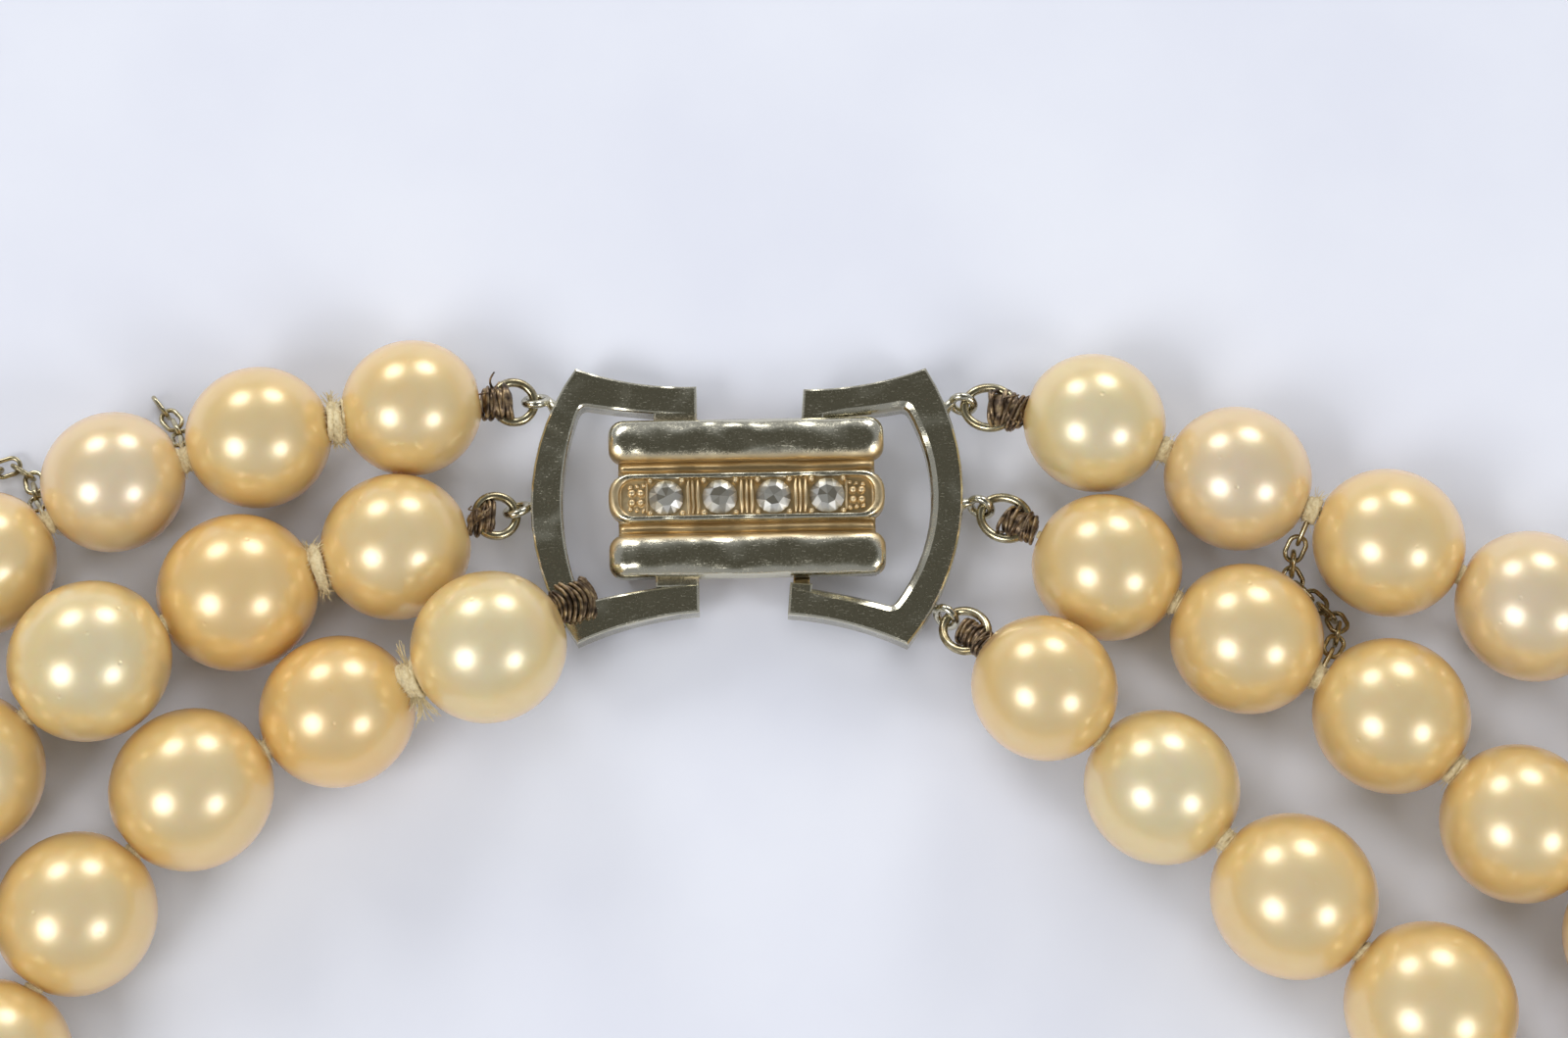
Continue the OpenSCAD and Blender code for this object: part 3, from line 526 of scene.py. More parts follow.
@dataclass
class Shell:
    """Closed surfaces that are gathered into one piece, in clasp millimetres."""

    verts: list[Vector] = field(default_factory=list)
    faces: list[tuple[int, ...]] = field(default_factory=list)

    def loft(self, rings: Sequence[Sequence[Vector]], closed: bool = False) -> None:
        """Joins rings of equal length one to the next, and caps the ends.

        Args:
            rings: Rings of points, each counter-clockwise seen from the last ring's side.
            closed: Joins the last ring to the first instead of capping.
        """
        base, count = len(self.verts), len(rings[0])
        for ring in rings:
            self.verts.extend(Vector(p) for p in ring)
        spans = len(rings) if closed else len(rings) - 1
        for i in range(spans):
            a, b = base + i * count, base + (i + 1) % len(rings) * count
            for j in range(count):
                k = (j + 1) % count
                self.faces.append((a + j, a + k, b + k, b + j))
        if not closed:
            self.faces.append(tuple(base + j for j in reversed(range(count))))
            self.faces.append(tuple(base + (len(rings) - 1) * count + j for j in range(count)))

    def prism(self, outline: Plan, low: float, high: float, edge: float,
              chamfers: dict[int, float] | None = None) -> None:
        """Adds an upright prism with rounded edges.

        Args:
            outline: Its plan.
            low: Height of its underside.
            high: Height of its top.
            edge: Width of the rounding of its edges.
            chamfers: Wider slopes along the top, by the outline's point.
        """
        inward = inward_ways(outline)
        wide = [(chamfers or {}).get(k, edge) for k in range(len(outline))]

        def ring(share: float, drop: float, top: bool) -> list[Vector]:
            """Gives the outline at one step of an edge's rounding.

            Args:
                share: How far in it lies, as a share of the rounding's width.
                drop: How far from the end it lies, as the same share.
                top: The end is the top.

            Returns:
                The ring's points.
            """
            out = []
            for (x, y), (dx, dy), w in zip(outline, inward, wide if top else [edge] * len(wide)):
                out.append(Vector((x + dx * share * w, y + dy * share * w,
                                   high - drop * w if top else low + drop * w)))
            return out

        self.loft([ring(1, 0, False), ring(0.3, 0.3, False), ring(0, 1, False),
                   ring(0, 1, True), ring(0.3, 0.4, True), ring(1, 0, True)])

    def tube(self, path: Sequence[Vector], radius: float | Sequence[float], sides: int = 12,
             closed: bool = False) -> None:
        """Sweeps a round section along a path.

        Args:
            path: Points along the middle.
            radius: The section's radius, or one for each point.
            sides: Sides of the section.
            closed: The path ends where it starts.
        """
        count = len(path)
        radii = [radius] * count if isinstance(radius, (int, float)) else list(radius)
        rings, normal = [], None
        for i, p in enumerate(path):
            ahead = path[(i + 1) % count] if closed or i < count - 1 else path[i]
            behind = path[i - 1] if closed or i > 0 else path[i]
            way = (ahead - behind).normalized()
            if normal is None:
                normal = way.orthogonal().normalized()
            normal = (normal - way * normal.dot(way)).normalized()
            side = way.cross(normal)
            rings.append([p + (normal * math.cos(t) + side * math.sin(t)) * radii[i]
                          for t in around(sides)])
        self.loft(rings, closed)

    def ball(self, middle: Vector, radius: float, squash: float = 1.0, rows: int = 8,
             sides: int = 12) -> None:
        """Adds a ball.

        Args:
            middle: Its middle.
            radius: Its radius seen from above.
            squash: Its height as a share of its width.
            rows: Rows of faces from pole to pole.
            sides: Faces in a row.
        """
        rings = []
        for i in range(1, rows):
            t = math.pi * i / rows - math.pi / 2
            rings.append([middle + Vector((radius * math.cos(t) * math.cos(u),
                                           radius * math.cos(t) * math.sin(u),
                                           radius * squash * math.sin(t))) for u in around(sides)])
        self.loft(rings)

    def piece(self, name: str, to_frame: Matrix, material: bpy.types.Material,
              sharp_deg: float = 35.0) -> bpy.types.Object:
        """Turns the surfaces to one object with smooth shading up to a given edge.

        Args:
            name: The piece's name.
            to_frame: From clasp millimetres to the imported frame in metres.
            material: Its finish.
            sharp_deg: Edges that turn more than this stay crisp.

        Returns:
            The new object.
        """
        made = object_from(name, [to_frame @ v for v in self.verts], self.faces, material)
        outward(made)
        made.data.shade_smooth()
        made.data.set_sharp_from_angle(angle=math.radians(sharp_deg))
        return made


def inward_ways(outline: Plan) -> list[tuple[float, float]]:
    """Gives each point of an outline its way inwards, as far as moves both its edges by 1.

    Args:
        outline: The outline, either way round.

    Returns:
        One way for each point.
    """
    count = len(outline)
    area = sum(outline[k - 1][0] * outline[k][1] - outline[k][0] * outline[k - 1][1]
               for k in range(count))
    sign = 1 if area > 0 else -1
    normals = []
    for k in range(count):
        (ax, ay), (bx, by) = outline[k], outline[(k + 1) % count]
        length = math.hypot(bx - ax, by - ay)
        normals.append((sign * (ay - by) / length, sign * (bx - ax) / length))
    ways = []
    for k in range(count):
        (px, py), (nx, ny) = normals[k - 1], normals[k]
        scale = 1 / max(0.4, 1 + px * nx + py * ny)
        ways.append(((px + nx) * scale, (py + ny) * scale))
    return ways


def outward(made: bpy.types.Object) -> None:
    """Turns every face of an object's closed shells outwards.

    Args:
        made: The object.
    """
    work = bmesh.new()
    work.from_mesh(made.data)
    bmesh.ops.recalc_face_normals(work, faces=work.faces)
    work.to_mesh(made.data)
    work.free()


def joined(name: str, pieces: Sequence[bpy.types.Object]) -> bpy.types.Object:
    """Joins objects to one, under a new name.

    Args:
        name: The new name.
        pieces: The objects, which are removed.

    Returns:
        The new object.
    """
    work = bmesh.new()
    slots: list[bpy.types.Material] = []
    for piece in pieces:
        shift = []
        for material in piece.data.materials:
            if material not in slots:
                slots.append(material)
            shift.append(slots.index(material))
        before = len(work.faces)
        work.from_mesh(piece.data)
        work.faces.ensure_lookup_table()
        for face in work.faces[before:]:
            face.material_index = shift[face.material_index] if shift else 0
    mesh = bpy.data.meshes.new(name)
    work.to_mesh(mesh)
    work.free()
    for material in slots:
        mesh.materials.append(material)
    for piece in pieces:
        bpy.data.objects.remove(piece)
    return linked(name, mesh)


def seat(piece: bpy.types.Object, slot: str, *nodes: str) -> bpy.types.Object:
    """Puts a finished piece on the necklace's one body.

    Args:
        piece: The piece, with its place in its mesh.
        slot: The slot of the finish it takes; not used.
        nodes: CAD nodes that it stands for.

    Returns:
        The piece.
    """
    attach(piece, BODY)
    if nodes:
        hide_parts(*nodes)
    log.info("%s: %d faces", piece.name, len(piece.data.polygons))
    return piece


# Geometry Nodes

def new_tree(name: str, inputs: dict[str, str]) -> tuple[bpy.types.NodeTree, bpy.types.NodeOutputs]:
    """Starts a tree that takes and gives a shape.

    Args:
        name: The tree's name.
        inputs: Its other inputs: the kind of each, such as "Float", by name.

    Returns:
        The tree, and the sockets that hand its inputs on.
    """
    tree = bpy.data.node_groups.new(name, "GeometryNodeTree")
    for word, kind in {"Geometry": "Geometry", **inputs}.items():
        tree.interface.new_socket(word, in_out="INPUT", socket_type=f"NodeSocket{kind}")
    tree.interface.new_socket("Geometry", in_out="OUTPUT", socket_type="NodeSocketGeometry")
    return tree, add(tree, "NodeGroupInput").outputs


def end_tree(tree: bpy.types.NodeTree, shape: bpy.types.NodeSocket,
             material: bpy.types.NodeSocket) -> bpy.types.NodeTree:
    """Ends a tree in real meshes with one finish.

    Args:
        tree: The tree.
        shape: What it has made, with instances in it.
        material: The finish.

    Returns:
        The tree.
    """
    real = add(tree, "GeometryNodeRealizeInstances", links={"Geometry": shape})
    dressed = add(tree, "GeometryNodeSetMaterial",
                  links={"Geometry": real.outputs["Geometry"], "Material": material})
    add(tree, "NodeGroupOutput", links={0: dressed.outputs["Geometry"]})
    return tree


@cache
def repeat_tree() -> bpy.types.NodeTree:
    """Builds a tree that puts a template on every point of a mesh.

    Each point has a "turn" (Euler angles), a "size" (scale) and a "tone". The template's own
    attributes stay on every copy.

    Returns:
        The tree, with inputs Template and Material.
    """
    tree, given = new_tree("repeated_template", {"Template": "Object", "Material": "Material"})
    template = add(tree, "GeometryNodeObjectInfo", links={"Object": given["Template"]})
    turn, size = (add(tree, "GeometryNodeInputNamedAttribute",
                      {"data_type": "FLOAT_VECTOR", "Name": word}) for word in ("turn", "size"))
    copies = add(tree, "GeometryNodeInstanceOnPoints",
                 links={"Points": given["Geometry"], "Instance": template.outputs["Geometry"],
                        "Rotation": turn.outputs["Attribute"], "Scale": size.outputs["Attribute"]})
    return end_tree(tree, copies.outputs["Instances"], given["Material"])


@cache
def fuzz_tree() -> bpy.types.NodeTree:
    """Builds a tree that grows fine fibres from a surface, and keeps the surface.

    Returns:
        The tree, with inputs Fibre, Material, Density, Shortest, Longest, Lean and Seed.
    """
    tree, given = new_tree("silk_fuzz", {
        "Fibre": "Object", "Material": "Material", "Density": "Float", "Shortest": "Float",
        "Longest": "Float", "Lean": "Float", "Seed": "Int"})
    fibre = add(tree, "GeometryNodeObjectInfo", links={"Object": given["Fibre"]})
    roots = add(tree, "GeometryNodeDistributePointsOnFaces",
                links={"Mesh": given["Geometry"], "Density": given["Density"], "Seed": given["Seed"]})
    length = add(tree, "FunctionNodeRandomValue", {"data_type": "FLOAT"},
                 {"Min": given["Shortest"], "Max": given["Longest"], "Seed": given["Seed"]})
    lean = add(tree, "FunctionNodeRandomValue",
               {"data_type": "FLOAT_VECTOR", 0: (-1, -1, -1), 1: (1, 1, 1)}, {"Seed": given["Seed"]})
    leaned = add(tree, "ShaderNodeVectorMath", {"operation": "SCALE"},
                 {0: lean.outputs[0], "Scale": given["Lean"]})
    way = add(tree, "ShaderNodeVectorMath", {"operation": "ADD"},
              {0: roots.outputs["Normal"], 1: leaned.outputs[0]})
    turn = add(tree, "FunctionNodeAlignRotationToVector", {"axis": "Z"}, {"Vector": way.outputs[0]})
    hairs = add(tree, "GeometryNodeInstanceOnPoints",
                links={"Points": roots.outputs["Points"], "Instance": fibre.outputs["Geometry"],
                       "Rotation": turn.outputs[0], "Scale": length.outputs[1]})
    both = add(tree, "GeometryNodeJoinGeometry", links={0: hairs.outputs["Instances"]})
    fit(tree, both, links={0: given["Geometry"]})
    return end_tree(tree, both.outputs["Geometry"], given["Material"])


@cache
def wire_tree() -> bpy.types.NodeTree:
    """Builds a tree that turns every run of edges to round wire with closed ends.

    Returns:
        The tree, with inputs Material, Radius and Sides.
    """
    tree, given = new_tree("swept_wire", {"Material": "Material", "Radius": "Float", "Sides": "Int"})
    line = add(tree, "GeometryNodeMeshToCurve", links={"Mesh": given["Geometry"]})
    section = add(tree, "GeometryNodeCurvePrimitiveCircle",
                  links={"Resolution": given["Sides"], "Radius": given["Radius"]})
    wire = add(tree, "GeometryNodeCurveToMesh", {"Fill Caps": True},
               {"Curve": line.outputs["Curve"], "Profile Curve": section.outputs["Curve"]})
    smooth = add(tree, "GeometryNodeSetShadeSmooth", links={"Geometry": wire.outputs["Mesh"]})
    return end_tree(tree, smooth.outputs["Geometry"], given["Material"])


def grow(made: bpy.types.Object, tree: bpy.types.NodeTree, values: dict[str, object]) -> bpy.types.Object:
    """Runs a tree on an object, keeps its result as a plain mesh and removes the modifier.

    Args:
        made: The object that the tree works on.
        tree: The tree.
        values: Its inputs, by name.

    Returns:
        The object.
    """
    work = made.modifiers.new("grow", "NODES")
    work.node_group = tree
    for item in tree.interface.items_tree:
        if item.item_type == "SOCKET" and item.in_out == "INPUT" and item.name in values:
            work[item.identifier] = values[item.name]
    depsgraph = bpy.context.evaluated_depsgraph_get()
    mesh = bpy.data.meshes.new_from_object(made.evaluated_get(depsgraph), depsgraph=depsgraph,
                                           preserve_all_data_layers=True)
    mesh.name = made.name
    made.modifiers.clear()
    made.data = mesh
    return made


@dataclass
class WirePath:
    """The middle line of one piece of wire, in clasp millimetres."""

    points: Sequence[Vector]
    closed: bool = False


def wires(name: str, paths: Iterable[WirePath], radius: float, to_frame: Matrix,
          material: bpy.types.Material, sides: int = 8) -> bpy.types.Object:
    """Sweeps wire along paths with Geometry Nodes.

    Args:
        name: The object's name.
        paths: The middle lines.
        radius: The wire's radius in millimetres.
        to_frame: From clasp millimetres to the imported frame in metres.
        material: The finish.
        sides: Sides of the wire's section.

    Returns:
        The wires as one object.
    """
    verts, edges = [], []
    for path in paths:
        first, count = len(verts), len(path.points)
        verts.extend(to_frame @ p for p in path.points)
        edges.extend((first + k, first + k + 1) for k in range(count - 1))
        if path.closed:
            edges.append((first + count - 1, first))
    mesh = bpy.data.meshes.new(name)
    mesh.from_pydata([tuple(v) for v in verts], edges, [])
    made = linked(name, mesh)
    grow(made, wire_tree(), {"Material": material, "Radius": radius * MM, "Sides": sides})
    outward(made)
    return made


@dataclass
class Copy:
    """One copy of a template: where it is, how it is turned and how large it is."""

    middle: Vector
    turn: Matrix
    size: Vector
    tone: float = 0.0


def repeated(name: str, template: bpy.types.Object, copies: Sequence[Copy], to_frame: Matrix,
             material: bpy.types.Material) -> bpy.types.Object:
    """Puts copies of a template together as one piece with Geometry Nodes.

    Args:
        name: The piece's name.
        template: Object in millimetres round its own origin, removed afterwards.
        copies: The copies, in clasp millimetres.
        to_frame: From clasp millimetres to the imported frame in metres.
        material: The finish.

    Returns:
        The piece.
    """
    made = object_from(name, [to_frame @ c.middle for c in copies], [])
    for word, kind in (("turn", "FLOAT_VECTOR"), ("size", "FLOAT_VECTOR"), ("tone", "FLOAT")):
        made.data.attributes.new(word, kind, "POINT")
    turn, size, tone = (made.data.attributes[word] for word in ("turn", "size", "tone"))
    for i, c in enumerate(copies):
        turn.data[i].vector = c.turn.to_euler()
        size.data[i].vector = c.size * MM
        tone.data[i].value = c.tone
    grow(made, repeat_tree(), {"Template": template, "Material": material})
    dress(made, material)
    bpy.data.objects.remove(template)
    return made


def frame_of(way: Vector) -> Matrix:
    """Gives the turn that takes z along a way and x as level as it goes.

    Args:
        way: The way.

    Returns:
        The turn.
    """
    z = way.normalized()
    x = UP.cross(z)
    x = x.normalized() if x.length > 1e-6 else z.orthogonal().normalized()
    return Matrix((x, z.cross(x), z)).transposed()


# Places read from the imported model

@dataclass
class Solid:
    """One loose solid of a CAD node, in clasp millimetres."""

    points: list[Vector]

    @property
    def low(self) -> Vector:
        """Lowest corner of its box."""
        return Vector(min(p[i] for p in self.points) for i in range(3))

    @property
    def high(self) -> Vector:
        """Highest corner of its box."""
        return Vector(max(p[i] for p in self.points) for i in range(3))

    @property
    def middle(self) -> Vector:
        """Middle of its box."""
        return (self.low + self.high) / 2


@dataclass
class Layout:
    """Places of the CAD nodes, with the middle of the plaque as the origin."""

    stones: Sequence[str] = ("diamond_1", "diamond_2", "diamond_3", "diamond_4")

    def __post_init__(self) -> None:
        """Finds the middle of the plaque and its turn from the four stones."""
        middles = [(Vector(low) + Vector(high)) / 2 for low, high in map(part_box, self.stones)]
        self.origin = sum(middles, Vector()) / len(middles)
        self.origin.z = 0
        row = middles[-1] - middles[0]
        self.plaque_turn = math.atan2(row.y, row.x)

    @property
    def to_frame(self) -> Matrix:
        """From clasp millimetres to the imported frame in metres."""
        return Matrix.Translation(self.origin) @ Matrix.Scale(MM, 4)

    def solids(self, node: str) -> list[Solid]:
        """Splits a CAD node to its loose solids.

        Args:
            node: The node's name.

        Returns:
            Its solids.
        """
        work = bmesh.new()
        work.from_mesh(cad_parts[node].data)
        bmesh.ops.remove_doubles(work, verts=work.verts, dist=1e-7)
        to_clasp = self.to_frame.inverted()
        seen: set[int] = set()
        found = []
        work.verts.ensure_lookup_table()
        for start in work.verts:
            if start.index in seen:
                continue
            seen.add(start.index)
            queue, points = [start], []
            while queue:
                v = queue.pop()
                points.append(to_clasp @ v.co)
                for e in v.link_edges:
                    other = e.other_vert(v)
                    if other.index not in seen:
                        seen.add(other.index)
                        queue.append(other)
            found.append(Solid(points))
        work.free()
        return found


# Pearls and silk

@dataclass(frozen=True)
class Fray:
    """A frayed thread end: the knot that it leaves, its heading in degrees and its size in mm."""

    knot: int
    heading: float
    reach: float
    fibres: int = 26
    spread: float = 0.4


@dataclass(frozen=True)
class SilkKnot:
    """How the silk is knotted: turns of thread round a lumpy heart, under loose fibres, in mm.
    Its height, pitch, lumps and tilt are shares of its width."""

    ply_r: float = 0.17
    turns: int = 3
    pitch: float = 0.15
    high: float = 1.25
    tilt: float = 0.3
    snug: tuple[float, float] = (0.8, 1.04)
    turn_lump: float = 0.13
    turn_shake: float = 0.07
    turn_steps: int = 16
    heart_lump: float = 0.12
    heart_steps: int = 14
    heart_rows: Sequence[tuple[float, float]] = (
        (-1.0, 0.6), (-0.7, 0.92), (-0.2, 1.0), (0.2, 1.0), (0.7, 0.92), (1.0, 0.6))
    fibre_r: float = 0.018
    fuzz_per_mm2: float = 20.0
    fuzz_long: tuple[float, float] = (0.25, 0.7)
    fuzz_lean: float = 0.9
    fray_rise: float = 0.12
    fray_curl: float = 0.3
    fray_inside: float = 0.25


@dataclass
class PearlStrand:
    """One strand: its pearls, and the silk knots between them."""

    word: str
    layout: Layout
    start: Vector
    tones_left: Sequence[PearlTone]
    tones_right: Sequence[PearlTone]
    knots_left: Sequence[float]
    knots_right: Sequence[float]
    seed: int
    frays: Sequence[Fray] = ()
    knot: SilkKnot = SilkKnot()
    plain_knot: float = 1.0
    tone_lot: tuple[float, float] = (1.6, 2.2)
    rows: int = 28
    sides: int = 40
    dimple: float = 0.055
    dimple_wide: float = 0.14
    waver: float = 0.014
    stretch: float = 1.03

    def __post_init__(self) -> None:
        """Reads the pearls from the CAD node and puts them in order along the strand."""
        left = [(s.middle, (s.high.y - s.low.y + s.high.x - s.low.x) / 4)
                for s in self.layout.solids(f"pearls_{self.word}")]
        self.pearls: list[tuple[Vector, float]] = []
        here = self.start
        while left:
            far = [(middle - here).length for middle, _ in left]
            self.pearls.append(left.pop(far.index(min(far))))
            here = self.pearls[-1][0]

    def way(self, i: int) -> Vector:
        """Direction of the strand at pearl i."""
        last = len(self.pearls) - 1
        return (self.pearls[min(i + 1, last)][0] - self.pearls[max(i - 1, 0)][0]).normalized()

    def tone(self, i: int, luck: random.Random) -> float:
        """Gives the body colour of a pearl: chosen near the clasp, drawn by lot elsewhere.

        Args:
            i: The pearl's number.
            luck: Random numbers, of which each pearl takes its share.

        Returns:
            Its place on the nacre's ramp.
        """
        j = len(self.pearls) - 1 - i
        drawn = luck.betavariate(*self.tone_lot)
        if i < len(self.tones_left):
            return self.tones_left[i].value
        if j < len(self.tones_right):
            return self.tones_right[j].value
        return drawn

    def template(self) -> bpy.types.Object:
        """Makes a pearl of diameter 1 along z, with a small dimple at each end of its bore.

        Returns:
            The pearl.
        """
        shell = Shell()
        rings = []
        for i in range(1, self.rows):
            t = math.pi * i / self.rows
            dip = self.dimple * math.exp(-(min(t, math.pi - t) / self.dimple_wide) ** 2)
            r = 0.5 * (1 - dip)
            rings.append([Vector((r * math.sin(t) * math.cos(u), r * math.sin(t) * math.sin(u),
                                  -r * math.cos(t))) for u in around(self.sides)])
        shell.loft(rings)
        made = object_from("pearl_template", shell.verts, shell.faces)
        outward(made)
        made.data.shade_smooth()
        return made

    def build_pearls(self, material: bpy.types.Material) -> bpy.types.Object:
        """Builds all pearls of the strand as one piece.

        Args:
            material: The nacre.

        Returns:
            The piece.
        """
        luck = random.Random(self.seed)
        copies = []
        for i, (middle, r) in enumerate(self.pearls):
            spin = Matrix.Rotation(luck.uniform(0, 2 * math.pi), 3, "Z")
            size = Vector((1 - luck.uniform(0, 1) * self.waver for _ in range(3))) * 2 * r
            size.z = 2 * r * self.stretch
            copies.append(Copy(middle, frame_of(self.way(i)) @ spin, size, self.tone(i, luck)))
        made = repeated(f"nacre_pearls_{self.word}", self.template(), copies, self.layout.to_frame,
                        material)
        return seat(made, "pearl", f"pearls_{self.word}")

    def gap(self, i: int) -> tuple[Vector, Vector, float]:
        """Measures the space after a pearl.

        Args:
            i: The pearl's number.

        Returns:
            The middle of the space, the strand's direction and the length.
        """
        (a, ra), (b, rb) = self.pearls[i], self.pearls[i + 1]
        way = (b - a).normalized()
        length = (b - a).length - (ra + rb) * self.stretch
        return a + way * (ra * self.stretch + length / 2), way, length

    def knot_width(self, i: int) -> float:
        """Gives the width of a knot: chosen near the clasp, the same for all elsewhere.

        Args:
            i: The knot's number, which is that of the pearl before it.

        Returns:
            The width.
        """
        j = len(self.pearls) - 2 - i
        if i < len(self.knots_left):
            return self.knots_left[i]
        return self.knots_right[j] if j < len(self.knots_right) else self.plain_knot

    def knot_loops(self, i: int, luck: random.Random) -> list[WirePath]:
        """Gives the turns of thread that make a knot.

        Args:
            i: The knot's number.
            luck: Random numbers.

        Returns:
            Closed loops round the strand.
        """
        knot = self.knot
        centre, way, _ = self.gap(i)
        turn = frame_of(way)
        width = self.knot_width(i)
        loops = []
        for k in range(knot.turns):
            r = (width / 2 - knot.ply_r) * luck.uniform(*knot.snug)
            tilt, phase = luck.uniform(-knot.tilt, knot.tilt), luck.uniform(0, 2 * math.pi)
            middle = centre + way * ((k - (knot.turns - 1) / 2) * knot.pitch * width)
            points = []
            for t in around(knot.turn_steps):
                wave = r * (1 + knot.turn_lump * math.sin(2 * t + phase)
                            + luck.uniform(-knot.turn_shake, knot.turn_shake))
                high = wave * knot.high * math.sin(t)
                points.append(middle + turn @ Vector((wave * math.cos(t), high,
                                                      tilt * r * math.sin(t + phase))))
            loops.append(WirePath(points, closed=True))
        return loops

    def knot_body(self, shell: Shell, i: int, luck: random.Random) -> None:
        """Adds the lumpy heart of a knot, which fills the space between two pearls.

        Args:
            shell: Where it goes.
            i: The knot's number.
            luck: Random numbers.
        """
        knot = self.knot
        middle, way, gap = self.gap(i)
        width = self.knot_width(i) - knot.ply_r
        slimmer = min(self.pearls[i][1], self.pearls[i + 1][1])
        turn = frame_of(way)
        rings = []
        for share, out in knot.heart_rows:
            ring = []
            for u in around(knot.heart_steps):
                r = width / 2 * out * (1 + knot.heart_lump * luck.uniform(-1, 1))
                across, high = r * math.cos(u), r * knot.high * math.sin(u)
                flare = (across ** 2 + high ** 2) / (2 * slimmer)
                ring.append(middle + turn @ Vector((across, high, share * (gap / 2 + flare))))
            rings.append(ring)
        shell.loft(rings)

    def fray_ends(self, fray: Fray, luck: random.Random) -> list[WirePath]:
        """Gives the loose fibres of one frayed thread end.

        Args:
            fray: Where the end is and how far it reaches.
            luck: Random numbers.

        Returns:
            The fibres.
        """
        knot, heading = self.knot, math.radians(fray.heading)
        out = Vector((math.cos(heading), math.sin(heading), knot.fray_rise))
        side = Vector((-out.y, out.x, 0))
        root = self.gap(fray.knot)[0] + Vector((out.x, out.y, 0)) * (
            self.knot_width(fray.knot) / 2 - knot.fray_inside)
        fibres = []
        for _ in range(fray.fibres):
            spread = (side * luck.uniform(-1, 1) + UP * luck.uniform(-0.5, 1)) * fray.spread
            reach = fray.reach * luck.uniform(0.55, 1.0)
            curl = side * luck.uniform(-knot.fray_curl, knot.fray_curl)
            fibres.append(WirePath([
                root + spread * 0.25 + (out * t + spread * t * t + curl * t * (1 - t)) * reach
                for t in (0, 0.25, 0.5, 0.75, 1)]))
        return fibres

    def build_silk(self, material: bpy.types.Material, fibre: bpy.types.Object) -> bpy.types.Object:
        """Builds the knots with their frayed fibres as one piece.

        Args:
            material: The silk.
            fibre: One fibre, of length 1.

        Returns:
            The piece.
        """
        knot, to_frame = self.knot, self.layout.to_frame
        luck = random.Random(self.seed + 100)
        shell, loops, fibres = Shell(), [], []
        for i in range(len(self.pearls) - 1):
            self.knot_body(shell, i, luck)
            loops += self.knot_loops(i, luck)
        for fray in self.frays:
            fibres += self.fray_ends(fray, luck)
        hearts = shell.piece("knot_hearts", to_frame, material, 180.0)
        shortest, longest = knot.fuzz_long
        grow(hearts, fuzz_tree(), {
            "Fibre": fibre, "Material": material, "Density": knot.fuzz_per_mm2 / MM ** 2,
            "Shortest": shortest * MM, "Longest": longest * MM, "Lean": knot.fuzz_lean,
            "Seed": self.seed})
        made = joined(f"silk_knots_{self.word}", [
            hearts, wires("knot_turns", loops, knot.ply_r, to_frame, material, 6),
            wires("frayed_ends", fibres, knot.fibre_r, to_frame, material, 4)])
        return seat(made, "silk")


def silk_fibre(bend: float = 0.28, thick: float = 0.03) -> bpy.types.Object:
    """Makes one curved fibre of length 1 along z, thin at its tip.

    Args:
        bend: How far its tip leans over.
        thick: Its radius at the root.

    Returns:
        The fibre.
    """
    shell = Shell()
    path = [Vector((bend * (k / 4) ** 2, 0, k / 4)) for k in range(5)]
    shell.tube(path, [thick * share for share in (1, 1, 0.9, 0.7, 0.3)], 3)
    return object_from("fibre_template", shell.verts, shell.faces)


# Rings and wound wire

@dataclass(frozen=True)
class Binding:
    """How fine wound wire binds a strand to its ring, in mm along and across the strand."""

    start: float
    end: float
    across: float
    high: float
    turns: int = 8
    lean_deg: float = 0.0
    taper: float = 0.85
    mess: float = 0.06
    strays: int = 4
    wire: float = 0.2


